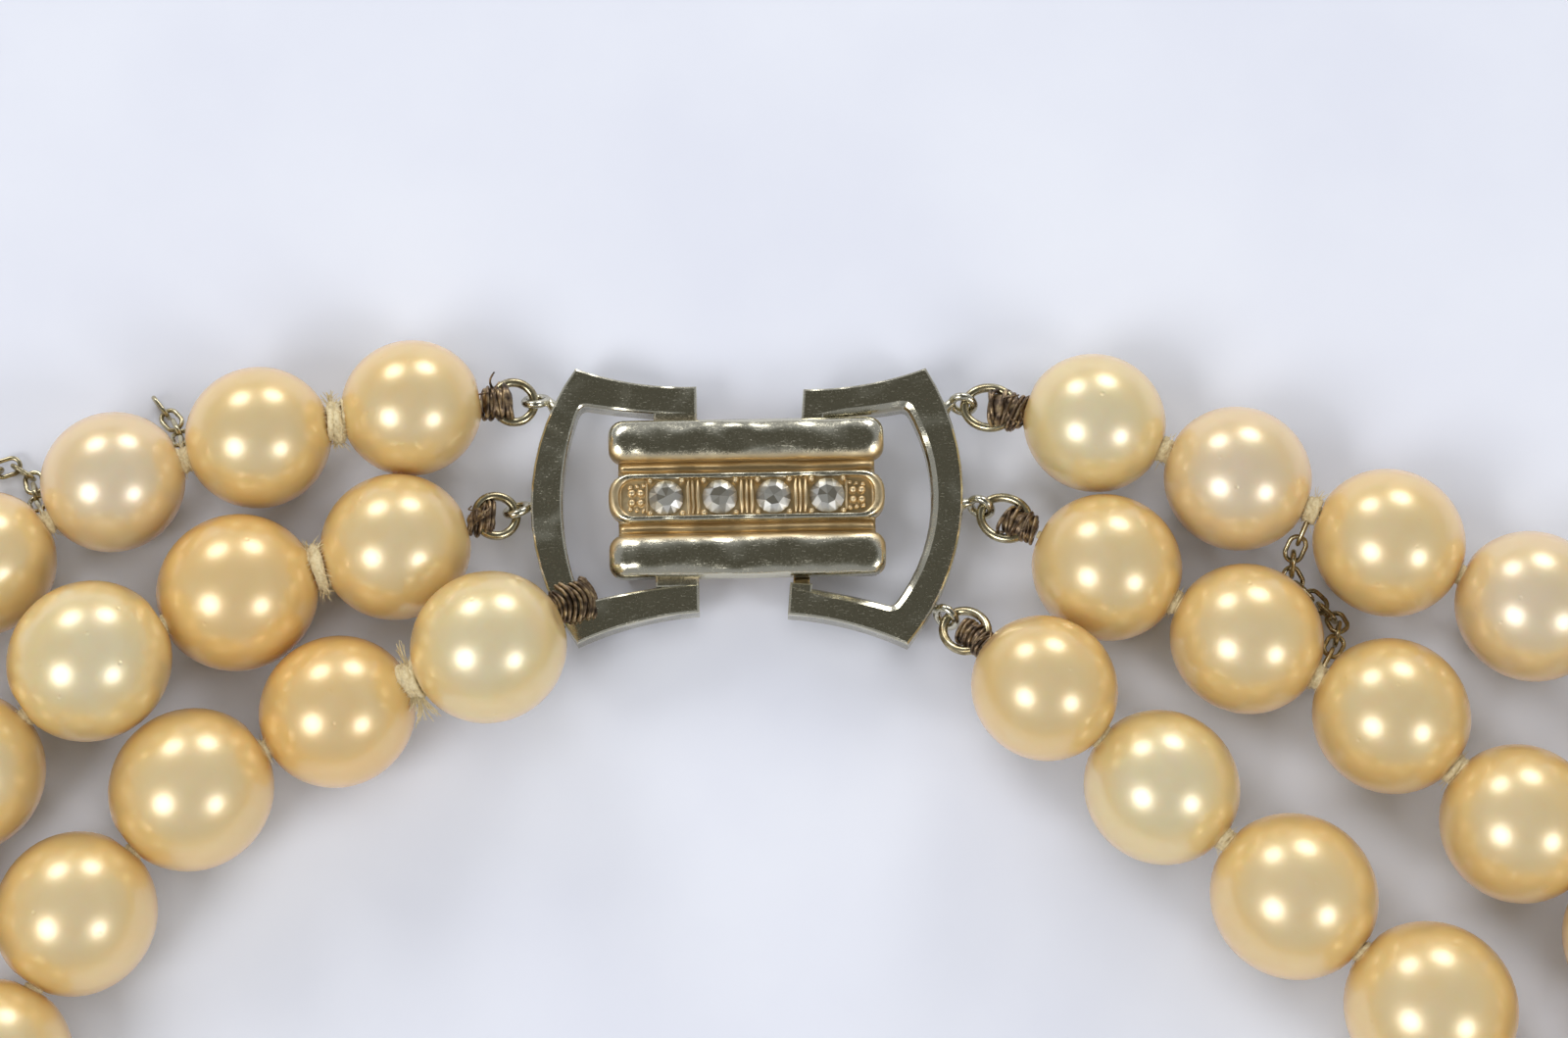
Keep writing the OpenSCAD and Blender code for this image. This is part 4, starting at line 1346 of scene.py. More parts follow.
@dataclass
class StrandEnd:
    """A jump ring with the wound wire that binds a strand to it."""

    word: str
    layout: Layout
    binding: Binding
    seed: int
    ring_wire: float = 0.46
    ring_dent: float = 0.02
    ring_steps: int = 64
    stray_wire: float = 0.09
    stray_bend: float = 0.16
    turn_steps: int = 26
    squareness: float = 0.85
    heart_steps: int = 20
    heart_rows: Sequence[tuple[float, float]] = (
        (-0.02, 0.5), (0.08, 0.78), (0.5, 0.84), (0.9, 0.74), (1.02, 0.5))

    def __post_init__(self) -> None:
        """Reads the ring's middle, and its way from the sleeve of wound wire."""
        self.ring_node = f"jump_ring_{self.word}"
        self.coil_node = f"wire_coil_{self.word}"
        ring = self.layout.solids(self.ring_node)[0]
        self.middle = ring.middle
        self.way = (self.layout.solids(self.coil_node)[0].middle - self.middle).normalized()
        self.level = Vector((-self.way.y, self.way.x, 0)).normalized()
        self.up = self.way.cross(self.level)
        reach = max((p - self.middle).dot(self.way) for p in ring.points)
        width = max((p - self.middle).dot(self.level) for p in ring.points)
        self.radius = width - self.ring_wire / 2
        self.half = reach - self.ring_wire / 2

    def along(self, share: float) -> Vector:
        """Middle of the binding at a share of its length from the ring."""
        b = self.binding
        return self.middle + self.way * (b.start + (b.end - b.start) * share)

    def narrowing(self, share: float) -> float:
        """How far the binding has narrowed at a share of its length from the ring."""
        return 1 - (1 - self.binding.taper) * share ** 2

    def build_ring(self, material: bpy.types.Material) -> bpy.types.Object:
        """Builds the jump ring, a little out of round.

        Args:
            material: The gold wire.

        Returns:
            The piece.
        """
        points = []
        for t in around(self.ring_steps, 0.5):
            across = self.radius * math.sin(t) * (1 + self.ring_dent * math.cos(t))
            points.append(self.middle + self.way * self.half * math.cos(t) + self.level * across)
        made = wires(f"round_ring_{self.word}", [WirePath(points, closed=True)], self.ring_wire / 2,
                     self.layout.to_frame, material, 16)
        return seat(made, "gold", self.ring_node)

    def turn(self, share: float, luck: random.Random) -> WirePath:
        """Gives one turn of the wound wire round the strand.

        Args:
            share: Its place from the ring's side, 0, to the pearl's side, 1.
            luck: Random numbers.

        Returns:
            The turn's middle line.
        """
        b = self.binding
        narrow = self.narrowing(share)
        width = (b.across - b.wire) / 2 * narrow * (1 + luck.uniform(-1, 1) * b.mess)
        height = (b.high - b.wire) / 2 * narrow * (1 + luck.uniform(-1, 1) * b.mess)
        lean = math.tan(math.radians(b.lean_deg)) + luck.uniform(-1, 1) * b.mess * 3
        tip = luck.uniform(-1, 1) * b.mess * 3
        middle = self.along(share) + self.level * luck.uniform(-1, 1) * b.mess
        points = []
        for t in around(self.turn_steps):
            c, s = math.cos(t), math.sin(t)
            side = width * math.copysign(abs(c) ** self.squareness, c)
            top = height * math.copysign(abs(s) ** self.squareness, s)
            points.append(middle + self.level * side + self.up * top
                          + self.way * (lean * side + tip * top))
        return WirePath(points, closed=True)

    def heart(self, material: bpy.types.Material) -> bpy.types.Object:
        """Builds the dark packing inside the turns.

        Args:
            material: The wound wire.

        Returns:
            The packing.
        """
        b = self.binding
        shell = Shell()
        rings = []
        for share, wide in self.heart_rows:
            narrow = wide * self.narrowing(max(0.0, share)) / 2
            rings.append([self.along(share) + self.level * (b.across * narrow * math.cos(t))
                          + self.up * (b.high * narrow * math.sin(t))
                          for t in around(self.heart_steps)])
        shell.loft(rings)
        return shell.piece(f"heart_{self.word}", self.layout.to_frame, material, 60.0)

    def strays(self) -> list[WirePath]:
        """Gives a few loose wire ends on the pearl's side.

        Returns:
            Their middle lines.
        """
        luck = random.Random(self.seed + 1)
        b = self.binding
        out = []
        for _ in range(b.strays):
            start = (self.middle + self.way * (b.end - luck.uniform(0.1, 0.6))
                     + self.level * luck.uniform(-0.4, 0.4) * b.across + self.up * b.high * 0.3)
            reach = (self.way * luck.uniform(-0.4, 0.5) + self.level * luck.uniform(-1, 1)
                     + self.up * luck.uniform(0.1, 0.5)).normalized() * luck.uniform(0.5, 1.0)
            bend = self.level.cross(reach).normalized() * self.stray_bend
            out.append(WirePath([start + reach * t + bend * math.sin(math.pi * t)
                                 for t in (0, 0.25, 0.5, 0.75, 1)]))
        return out

    def build_wrap(self, material: bpy.types.Material) -> bpy.types.Object:
        """Builds the turns of wound wire and their loose ends as one piece.

        Args:
            material: The wound wire.

        Returns:
            The piece.
        """
        luck = random.Random(self.seed)
        b, to_frame = self.binding, self.layout.to_frame
        turns = [self.turn((k + 0.5) / b.turns, luck) for k in range(b.turns)]
        made = joined(f"wound_wire_{self.word}", [
            wires(f"turns_{self.word}", turns, b.wire / 2, to_frame, material), self.heart(material),
            wires(f"ends_{self.word}", self.strays(), self.stray_wire / 2, to_frame, material, 6)])
        return seat(made, "wire", self.coil_node)


# Clasp

def turned(p: Sequence[float], degrees: float) -> tuple[float, float]:
    """Turns a point of the plan round the origin."""
    c, s = math.cos(math.radians(degrees)), math.sin(math.radians(degrees))
    return p[0] * c - p[1] * s, p[0] * s + p[1] * c


def bow(a: Sequence[float], b: Sequence[float], sag: float,
        count: int = 14) -> list[tuple[float, float]]:
    """Gives the points of an arc from a to b, without b.

    Args:
        a: Its start.
        b: Its end.
        sag: How far it bows out, on the left of the way from a to b.
        count: How many points.

    Returns:
        The points.
    """
    half = math.dist(a, b) / 2
    mid = ((a[0] + b[0]) / 2, (a[1] + b[1]) / 2)
    left = ((a[1] - b[1]) / (2 * half), (b[0] - a[0]) / (2 * half))
    r = (half * half + sag * sag) / (2 * abs(sag))
    side = 1 if sag > 0 else -1
    c = (mid[0] - left[0] * side * (r - abs(sag)), mid[1] - left[1] * side * (r - abs(sag)))
    sweep = 2 * math.degrees(math.asin(half / r))
    out = []
    for i in range(count):
        dx, dy = turned((a[0] - c[0], a[1] - c[1]), -side * sweep * i / count)
        out.append((c[0] + dx, c[1] + dy))
    return out


def round_box(length: float, width: float, radius: float, count: int = 6) -> list[tuple[float, float]]:
    """Gives the outline of a rectangle with round corners, counter-clockwise.

    Args:
        length: Its size along x.
        width: Its size along y.
        radius: The corners' radius.
        count: Steps round each corner.

    Returns:
        The outline.
    """
    out = []
    for q, (sx, sy) in enumerate([(1, 1), (-1, 1), (-1, -1), (1, -1)]):
        for i in range(count + 1):
            a = math.radians(90 * (q + i / count))
            out.append((sx * (length / 2 - radius) + radius * math.cos(a),
                        sy * (width / 2 - radius) + radius * math.sin(a)))
    return out


def softened(outline: Plan, corner: int, reach: float, count: int = 4) -> list[tuple[float, float]]:
    """Rounds one corner of an outline.

    Args:
        outline: The outline.
        corner: Number of the corner's point.
        reach: How far from the corner the rounding starts.
        count: Steps round the corner.

    Returns:
        The outline with points of a small curve in the corner's place.
    """
    here = Vector(outline[corner])
    a, b = (here + (Vector(end) - here).normalized() * min(reach, 0.8 * (Vector(end) - here).length)
            for end in (outline[corner - 1], outline[(corner + 1) % len(outline)]))
    curve = [a.lerp(here, t).lerp(here.lerp(b, t), t) for t in (k / count for k in range(count + 1))]
    return [*outline[:corner], *((p.x, p.y) for p in curve), *outline[corner + 1:]]


@dataclass(frozen=True)
class FrameShape:
    """How a C-shaped frame differs from the other one, with its open side to the right."""

    rise: tuple[float, float]
    inset: float
    hollow_round: float
    chamfer: float


@dataclass(frozen=True)
class ClaspSizes:
    """Sizes of the clasp: those of the CAD model, but for the eyelets' slightly thicker wire."""

    plaque_l: float = 14.1
    bar_w: float = 2.1
    stone_bar_w: float = 2.6
    groove_w: float = 0.57
    box_h: float = 2.95
    bar_rise: float = 0.75
    bar_foot: float = 0.35
    rim_drop: float = 0.08
    channel_depth: float = 0.42
    frame_reach: float = 11.05
    frame_bar: float = 1.62
    frame_h: float = 1.6
    frame_proud: float = 0.05
    arm_share: float = 0.94
    arm_gap: float = 0.41
    arm_end: float = 2.5
    side_bow: float = 2.35
    arm_bow: float = 0.3
    hollow_bow: float = 0.12
    hollow_rise: float = 0.6
    stone_d: float = 1.8
    stone_clearance: float = 0.06
    stone_pitch: float = 2.74
    stone_count: int = 4
    box_inset: float = 0.65
    box_wall: float = 0.5
    floor_t: float = 0.55
    tongue_clearance: float = 0.25
    tongue_t: float = 0.75
    tongue_turn: float = -3.9
    eyelet_wire: float = 0.42
    eyelet_r: float = 0.57
    eyelet_neck: float = 0.35
    ring_slip: float = 0.09
    left: FrameShape = FrameShape((1.05, 1.5), 0.15, 0.5, 0.13)
    right: FrameShape = FrameShape((1.55, 1.15), 0.55, 0.3, 0.36)

    @property
    def plaque_w(self) -> float:
        """Width of the three bars and two grooves."""
        return 2 * self.bar_w + self.stone_bar_w + 2 * self.groove_w

    @property
    def arm_in(self) -> float:
        """Inner side of a frame's arm."""
        return self.plaque_w / 2 + self.arm_gap

    @property
    def arm_out(self) -> float:
        """Outer side of a frame's arm."""
        return self.arm_in + self.arm_share * self.frame_bar

    @property
    def frame_z(self) -> float:
        """Underside of a frame."""
        return self.box_h - self.frame_h + self.frame_proud

    @property
    def top_z(self) -> float:
        """Top of the outer bars."""
        return self.box_h + self.bar_rise

    @property
    def channel_w(self) -> float:
        """Width of the channel that holds the stones."""
        return self.stone_d + 2 * self.stone_clearance

    @property
    def channel_z(self) -> float:
        """Bottom of the channel."""
        return self.top_z - self.rim_drop - self.channel_depth

    @property
    def tongue_z(self) -> float:
        """Underside of the tongue."""
        return self.floor_t + self.tongue_clearance

    @property
    def slot_top(self) -> float:
        """Top of the tongue's slot."""
        return self.tongue_z + self.tongue_t + self.tongue_clearance

    @property
    def box_half_w(self) -> float:
        """Half the width of the box under the bars."""
        return self.plaque_w / 2 - self.box_inset

    @property
    def slot_half_w(self) -> float:
        """Half the width of the tongue's slot."""
        return self.box_half_w - self.box_wall

    @property
    def joint_z(self) -> tuple[float, float]:
        """Underside and top of the solder joints, which stay within the frame's height."""
        return self.frame_z + 0.2, self.frame_z + self.frame_h - 0.02

    def stone_x(self, i: int) -> float:
        """Place of stone i along the channel."""
        return (i - (self.stone_count - 1) / 2) * self.stone_pitch

    def frame_outline(self, shape: FrameShape) -> tuple[list[tuple[float, float]], range]:
        """Gives the outline of a frame as it lies on the left.

        Args:
            shape: How the frame differs from the other one.

        Returns:
            The outline, and the numbers of its points along the hollow.
        """
        up, down = shape.rise
        tip_x = self.frame_reach - self.side_bow
        inner_x = tip_x - shape.inset * self.frame_bar
        top, low = (-tip_x, self.arm_out + up), (-tip_x, -self.arm_out - down)
        low_end, low_in = (-self.arm_end, -self.arm_out), (-self.arm_end, -self.arm_in)
        low_corner = (-inner_x, -self.arm_in - self.hollow_rise * down)
        top_corner = (-inner_x, self.arm_in + self.hollow_rise * up)
        top_in, top_end = (-self.arm_end, self.arm_in), (-self.arm_end, self.arm_out)
        outer = [*bow(top, low, -self.side_bow), *bow(low, low_end, self.arm_bow), low_end]
        lower = bow(low_in, low_corner, -self.hollow_bow)
        side = bow(low_corner, top_corner, self.frame_reach - self.frame_bar - inner_x)
        upper = bow(top_corner, top_in, -self.hollow_bow)
        outline = [*outer, *lower, *side, *upper, top_in, *bow(top_end, top, self.arm_bow)]
        first, last = len(outer), len(outer) + len(lower) + len(side) + len(upper)
        for corner in (first + len(lower) + len(side), first + len(lower)):
            before = len(outline)
            outline = softened(outline, corner, shape.hollow_round)
            last += len(outline) - before
        return outline, range(first, last)


@dataclass
class ClaspHalf:
    """What both halves of the clasp share: a frame with its eyelets."""

    layout: Layout
    sizes: ClaspSizes
    metal: bpy.types.Material
    turn_deg: float = 0.0
    edge: float = 0.12
    block_edge: float = 0.07
    joint_edge: float = 0.1
    crisp_deg: float = 25.0
    chamfer_run: int = 5
    eyelet_roll_deg: float = 30.0
    eyelet_steps: int = 32
    neck_root: float = 0.45
    neck_radii: Sequence[float] = (0.44, 0.44, 0.4, 0.33, 0.27, 0.25, 0.24)

    @property
    def to_frame(self) -> Matrix:
        """From this half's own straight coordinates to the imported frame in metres."""
        return self.layout.to_frame @ Matrix.Rotation(math.radians(self.turn_deg), 4, "Z")

    def block(self, name: str, x: tuple[float, float], y: tuple[float, float],
              z: tuple[float, float], edge: float | None = None) -> bpy.types.Object:
        """Makes a straight block with rounded edges.

        Args:
            name: Its name.
            x: Its reach along x in this half's coordinates.
            y: Its reach along y.
            z: Its reach along z.
            edge: Width of the rounding of its edges, where it isn't the usual one.

        Returns:
            The block.
        """
        shell = Shell()
        shell.prism([(x[0], y[0]), (x[1], y[0]), (x[1], y[1]), (x[0], y[1])], *z,
                    edge or self.block_edge)
        return shell.piece(name, self.to_frame, self.metal, self.crisp_deg)

    def pair(self, name: str, x: tuple[float, float], y: tuple[float, float],
             z: tuple[float, float], edge: float | None = None) -> list[bpy.types.Object]:
        """Makes a block and its mirror image across the plaque.

        Args:
            name: Their name.
            x: Their reach along x in this half's coordinates.
            y: The reach of the one above the middle line, its inner side first.
            z: Their reach along z.
            edge: As in block.

        Returns:
            The two blocks.
        """
        return [self.block(name, x, ys, z, edge) for ys in (y, (-y[1], -y[0]))]

    def c_frame(self, name: str, shape: FrameShape, mirrored: bool) -> bpy.types.Object:
        """Makes a C-shaped frame with crisp bevels and a chamfer along its hollow.

        Args:
            name: Its name.
            shape: How it differs from the other frame.
            mirrored: It lies on the right.

        Returns:
            The frame.
        """
        s = self.sizes
        outline, hollow = s.frame_outline(shape)
        side = -1 if mirrored else 1
        last = len(hollow) - 1
        chamfers = {k: self.edge + (shape.chamfer - self.edge)
                    * min(1.0, min(n, last - n) / self.chamfer_run) for n, k in enumerate(hollow)}
        shell = Shell()
        shell.prism([(side * x, y) for x, y in outline], s.frame_z, s.frame_z + s.frame_h,
                    self.edge, chamfers)
        return shell.piece(name, self.to_frame, self.metal, self.crisp_deg)

    def eyelets(self, ends: Sequence[StrandEnd]) -> bpy.types.Object:
        """Builds the eyelets with their necks and solder.

        Args:
            ends: The strand ends that hang on them.

        Returns:
            The eyelets as one object.
        """
        s = self.sizes
        roll = math.radians(self.eyelet_roll_deg)
        shell = Shell()
        for end in ends:
            middle = end.middle - end.way * (s.ring_slip + end.half)
            level = Vector((end.way.x, end.way.y, 0)).normalized()
            up = Vector((-level.y, level.x, 0)) * math.sin(roll) + UP * math.cos(roll)
            path = [middle + (level * math.cos(t) + up * math.sin(t)) * s.eyelet_r
                    for t in around(self.eyelet_steps)]
            shell.tube(path, s.eyelet_wire / 2, 14, closed=True)
            back = middle - level * s.eyelet_r
            inward = -Vector((middle.x, middle.y, 0)).normalized()
            root = middle + inward * (s.eyelet_r + s.eyelet_neck + self.neck_root)
            last = len(self.neck_radii) - 1
            shell.tube([root.lerp(back, k / last) for k in range(last + 1)], self.neck_radii, 14)
        return shell.piece("eyelets", self.layout.to_frame, self.metal)


@dataclass(frozen=True)
class BeadSetting:
    """Beads raised round the stones, small cut bars between them and a rosette at each end."""

    bead_r: float = 0.17
    bead_high: float = 0.22
    bead_tall: float = 1.4
    bead_near: float = 0.72
    cut_ways: Sequence[tuple[float, float]] = ((-0.25, 0.3), (0.0, 0.2), (0.25, 0.3))
    cut_ys: Sequence[float] = (-0.86, -0.5, 0.0, 0.5, 0.86)
    cut_radii: Sequence[float] = (0.05, 0.085, 0.09, 0.085, 0.05)
    cut_reach: float = 1.1
    cut_shake: float = 0.03
    end_space: float = 0.28
    end_bar_back: float = 0.12
    end_bar_ys: Sequence[float] = (-0.75, 0.0, 0.75)
    end_bar_r: float = 0.07
    end_high: float = 0.12
    petal_r: float = 0.2
    petal_x: float = 0.22
    petal_pitch: float = 0.44
    petal_y: float = 0.25
    grain_r: float = 0.13
    grain_x: float = 0.05
    grain_pitch: float = 0.34
    grain_y: float = 0.66
    grain_high: float = 0.04
    seed: int = 7


@dataclass
class PlaqueHalf(ClaspHalf):
    """The half with the plaque of three bars, its box and the left frame."""

    beads: BeadSetting = BeadSetting()
    end_round: float = 0.85
    end_rim: float = 0.55
    crown: float = 2.5
    crown_rows: Sequence[float] = (1.0, 0.99, 0.96, 0.91, 0.84, 0.75, 0.64, 0.52, 0.39, 0.26, 0.13,
                                   0.03)
    bar_swell: float = 0.14
    groove_edge: float = 0.12
    base_short: float = 0.62
    base_over: float = 0.15
    joint_l: float = 2.2

    def half_round_bar(self, shell: Shell, y: float) -> None:
        """Adds one outer bar: half round across, with blunt round ends.

        Args:
            shell: Where it goes.
            y: Its place across the plaque.
        """
        s = self.sizes
        full = s.bar_w + self.bar_swell
        rings = [[Vector((x, y + v, s.box_h - s.bar_foot))
                  for x, v in round_box(s.plaque_l, full, 0.36 * s.bar_w)]]
        for u in self.crown_rows:
            width, length = full * u, s.plaque_l - 2 * self.end_round * (1 - u)
            radius = min(0.3 * s.bar_w + 0.06 * width, 0.49 * width)
            height = s.box_h + (s.top_z - s.box_h) * (1 - u ** self.crown) ** (1 / self.crown)
            rings.append([Vector((x, y + v, height)) for x, v in round_box(length, width, radius)])
        shell.loft(rings)

    def stone_bar(self, shell: Shell) -> None:
        """Adds the middle bar with its rim and sunk channel.

        Args:
            shell: Where it goes.
        """
        s = self.sizes
        top = s.top_z - s.rim_drop
        rim = (s.stone_bar_w - s.channel_w) / 2
        rows = [(0.0, s.box_h - s.bar_foot), (0.0, top - 0.34), (0.02, top - 0.2),
                (0.07, top - 0.09), (0.14, top - 0.02), (0.19, top), (rim - 0.06, top - 0.01),
                (rim - 0.02, top - 0.05), (rim, s.channel_z + 0.05), (rim + 0.05, s.channel_z)]
        rings = []
        for inset, z in rows:
            length, width = s.plaque_l - 2 * inset, s.stone_bar_w - 2 * inset
            extra = (self.end_rim - rim) * min(1.0, inset / rim) ** 2
            rings.append([Vector((x, v, z))
                          for x, v in round_box(length - 2 * extra, width, 0.42 * width)])
        shell.loft(rings)

    def base(self) -> bpy.types.Object:
        """Builds the plate under the bars, with a round groove on each side of the stones.

        Returns:
            The plate.
        """
        s = self.sizes
        shell = Shell()
        groove_y, groove_r = (s.stone_bar_w + s.groove_w) / 2, 0.5 * s.groove_w
        half = s.plaque_w / 2 - 0.05
        top = s.box_h + self.base_over
        bed = [(-half, s.slot_top), (half, s.slot_top), (half, top)]
        for side in (1, -1):
            bed += [(side * groove_y + groove_r * math.cos(t),
                     top + self.groove_edge - groove_r * math.sin(t))
                    for t in (math.pi * k / 8 for k in range(9))]
        bed += [(-half, top)]
        end = s.plaque_l / 2 - self.base_short
        rings = [[Vector((x, y, z - inset)) for y, z in bed]
                 for x, inset in ((-end - 0.12, 0.14), (-end, 0.03), (-end + 0.1, 0.0),
                                  (end - 0.1, 0.0), (end, 0.03), (end + 0.12, 0.14))]
        shell.loft(rings)
        return shell.piece("plaque_base", self.to_frame, self.metal, 50.0)

    def box(self) -> list[bpy.types.Object]:
        """Builds the box under the plaque, with its slot open to the right.

        Returns:
            Its walls, roof and floor.
        """
        s = self.sizes
        half, slot = s.box_half_w, s.slot_half_w
        start, end, back = -s.plaque_l / 2 + 0.7, s.arm_end - 0.3, -1.5
        wall_z = (0.1, s.slot_top + 0.1)
        return [
            self.block("box_roof", (start, end), (-half, half), (s.slot_top, s.box_h)),
            self.block("box_floor", (start, end), (-half, half), (0, s.floor_t)),
            self.block("box_back", (start, back), (-half, half), wall_z),
            self.block("box_plate", (end - 0.3, s.plaque_l / 2 - 0.9), (-slot, slot), (0, s.floor_t)),
            *self.pair("box_side", (back - 0.5, end), (slot, half), wall_z),
        ]

    def setting(self, shell: Shell) -> None:
        """Adds the beads and the cut bars that hold the stones.

        Args:
            shell: Where they go.
        """
        s, b = self.sizes, self.beads
        luck = random.Random(b.seed)
        z = s.channel_z
        bead_x = s.stone_d / 2 * b.bead_near + b.bead_r
        edge_y = s.channel_w / 2 - b.bead_r * 0.7
        for i in range(s.stone_count):
            for sx, sy in ((-1, -1), (-1, 1), (1, -1), (1, 1)):
                where = Vector((s.stone_x(i) + sx * bead_x, sy * edge_y, z + b.bead_high))
                shell.ball(where, b.bead_r * luck.uniform(0.85, 1.1), b.bead_tall)
        for i in range(s.stone_count - 1):
            mid = (s.stone_x(i) + s.stone_x(i + 1)) / 2
            for dx, high in b.cut_ways:
                shell.tube([Vector((mid + dx + b.cut_shake * luck.uniform(-1, 1), y,
                                    z + high * (1 - (y / b.cut_reach) ** 4))) for y in b.cut_ys],
                           b.cut_radii, 8)
        near = s.stone_x(s.stone_count - 1) + bead_x + b.end_space
        for sx in (-1, 1):
            shell.tube([Vector((sx * (near - b.end_bar_back), y, z + b.end_high))
                        for y in b.end_bar_ys], b.end_bar_r, 8)
            for n, sy in ((0, -1), (0, 1), (1, -1), (1, 1)):
                shell.ball(Vector((sx * (near + b.petal_x + n * b.petal_pitch), sy * b.petal_y,
                                   z + b.end_high)), b.petal_r, 0.95)
            for n in range(3):
                for sy in (-1, 1):
                    where = Vector((sx * (near + b.grain_x + n * b.grain_pitch),
                                    sy * (b.grain_y - 0.05 * n), z + b.grain_high))
                    shell.ball(where, b.grain_r * luck.uniform(0.8, 1.1), 1.1, 6, 10)

    def build(self, ends: Sequence[StrandEnd]) -> bpy.types.Object:
        """Builds the whole half as one soldered piece.

        Args:
            ends: The strand ends on its eyelets.

        Returns:
            The piece.
        """
        s = self.sizes
        bars = Shell()
        for side in (-1, 1):
            self.half_round_bar(bars, side * ((s.plaque_w - s.bar_w) / 2 + self.bar_swell / 2))
        self.stone_bar(bars)
        self.setting(bars)
        made = joined("plaque_and_left_frame", [
            bars.piece("bars", self.to_frame, self.metal, 50.0), self.base(), *self.box(),
            self.c_frame("left_frame", s.left, False), self.eyelets(ends),
            *self.pair("solder_joint", (-s.arm_end - self.joint_l, -s.arm_end - 0.02),
                       (s.box_half_w - 0.2, s.arm_in + 0.2), s.joint_z, self.joint_edge)])
        self.tint_yellowing_and_painted_shade(made)
        return seat(made, "gold", "clasp_box")

    def tint_yellowing_and_painted_shade(self, made: bpy.types.Object) -> None:
        """Writes where the metal is yellow: in the channel as cut metal, and in the grooves and under the
        bars as unpolished metal with painted shade and warm bounce light, more of it the lower a point
        lies.

        Args:
            made: The joined half.
        """
        s = self.sizes
        back = self.to_frame.inverted()
        mark = made.data.attributes.new("recess", "FLOAT", "POINT")
        for v in made.data.vertices:
            p = back @ v.co
            inside = abs(p.x) < s.plaque_l / 2 + 0.01 and abs(p.y) < s.plaque_w / 2 + 0.01
            channel = abs(p.y) < s.channel_w / 2 + 0.02 and p.z > s.channel_z - 0.02
            inner_flank = s.stone_bar_w / 2 < abs(p.y) < (s.plaque_w - s.bar_w) / 2
            # Painted shade: the further a point lies below this line, the yellower and darker it is
            # painted.
            line = s.box_h + (0.68 if inner_flank else 0.36)
            value = Recess.CUT.value if channel else min(1.0, max(0.0, (line - p.z) / 0.3))
            mark.data[v.index].value = value if inside else Recess.POLISHED.value


@dataclass
class TongueHalf(ClaspHalf):
    """The half with the tongue and the right frame, turned a little in its slot."""

    wing_l: tuple[float, float] = (0.15, 1.0)
    wing_reach: float = 0.7
    lug_l: tuple[float, float] = (0.02, 1.15)
    lug_space: float = 0.24

    def build(self, ends: Sequence[StrandEnd]) -> bpy.types.Object:
        """Builds the whole half as one soldered piece.

        Args:
            ends: The strand ends on its eyelets.

        Returns:
            The piece.
        """
        s = self.sizes
        half_w = s.slot_half_w - s.tongue_clearance - 0.15
        wing_x, lug_x = (tuple(s.arm_end + d for d in reach) for reach in (self.wing_l, self.lug_l))
        wing_y = s.arm_in + self.wing_reach
        tongue = (s.tongue_z, s.tongue_z + s.tongue_t)
        made = joined("tongue_and_right_frame", [
            self.c_frame("right_frame", s.right, True),
            self.block("tongue", (-1.0, s.plaque_l / 2 - 1.2), (-half_w, half_w), tongue),
            self.block("wings", wing_x, (-wing_y, wing_y), tongue),
            self.eyelets(ends),
            *self.pair("post", wing_x, (s.arm_in + 0.1, wing_y), (s.tongue_z + 0.1, s.frame_z + 0.8)),
            *self.pair("solder_lug", lug_x, (s.plaque_w / 2 + self.lug_space, s.arm_in + 0.4),
                       s.joint_z, self.joint_edge)])
        made.data.attributes.new("recess", "FLOAT", "POINT")
        return seat(made, "gold", "clasp_tongue")


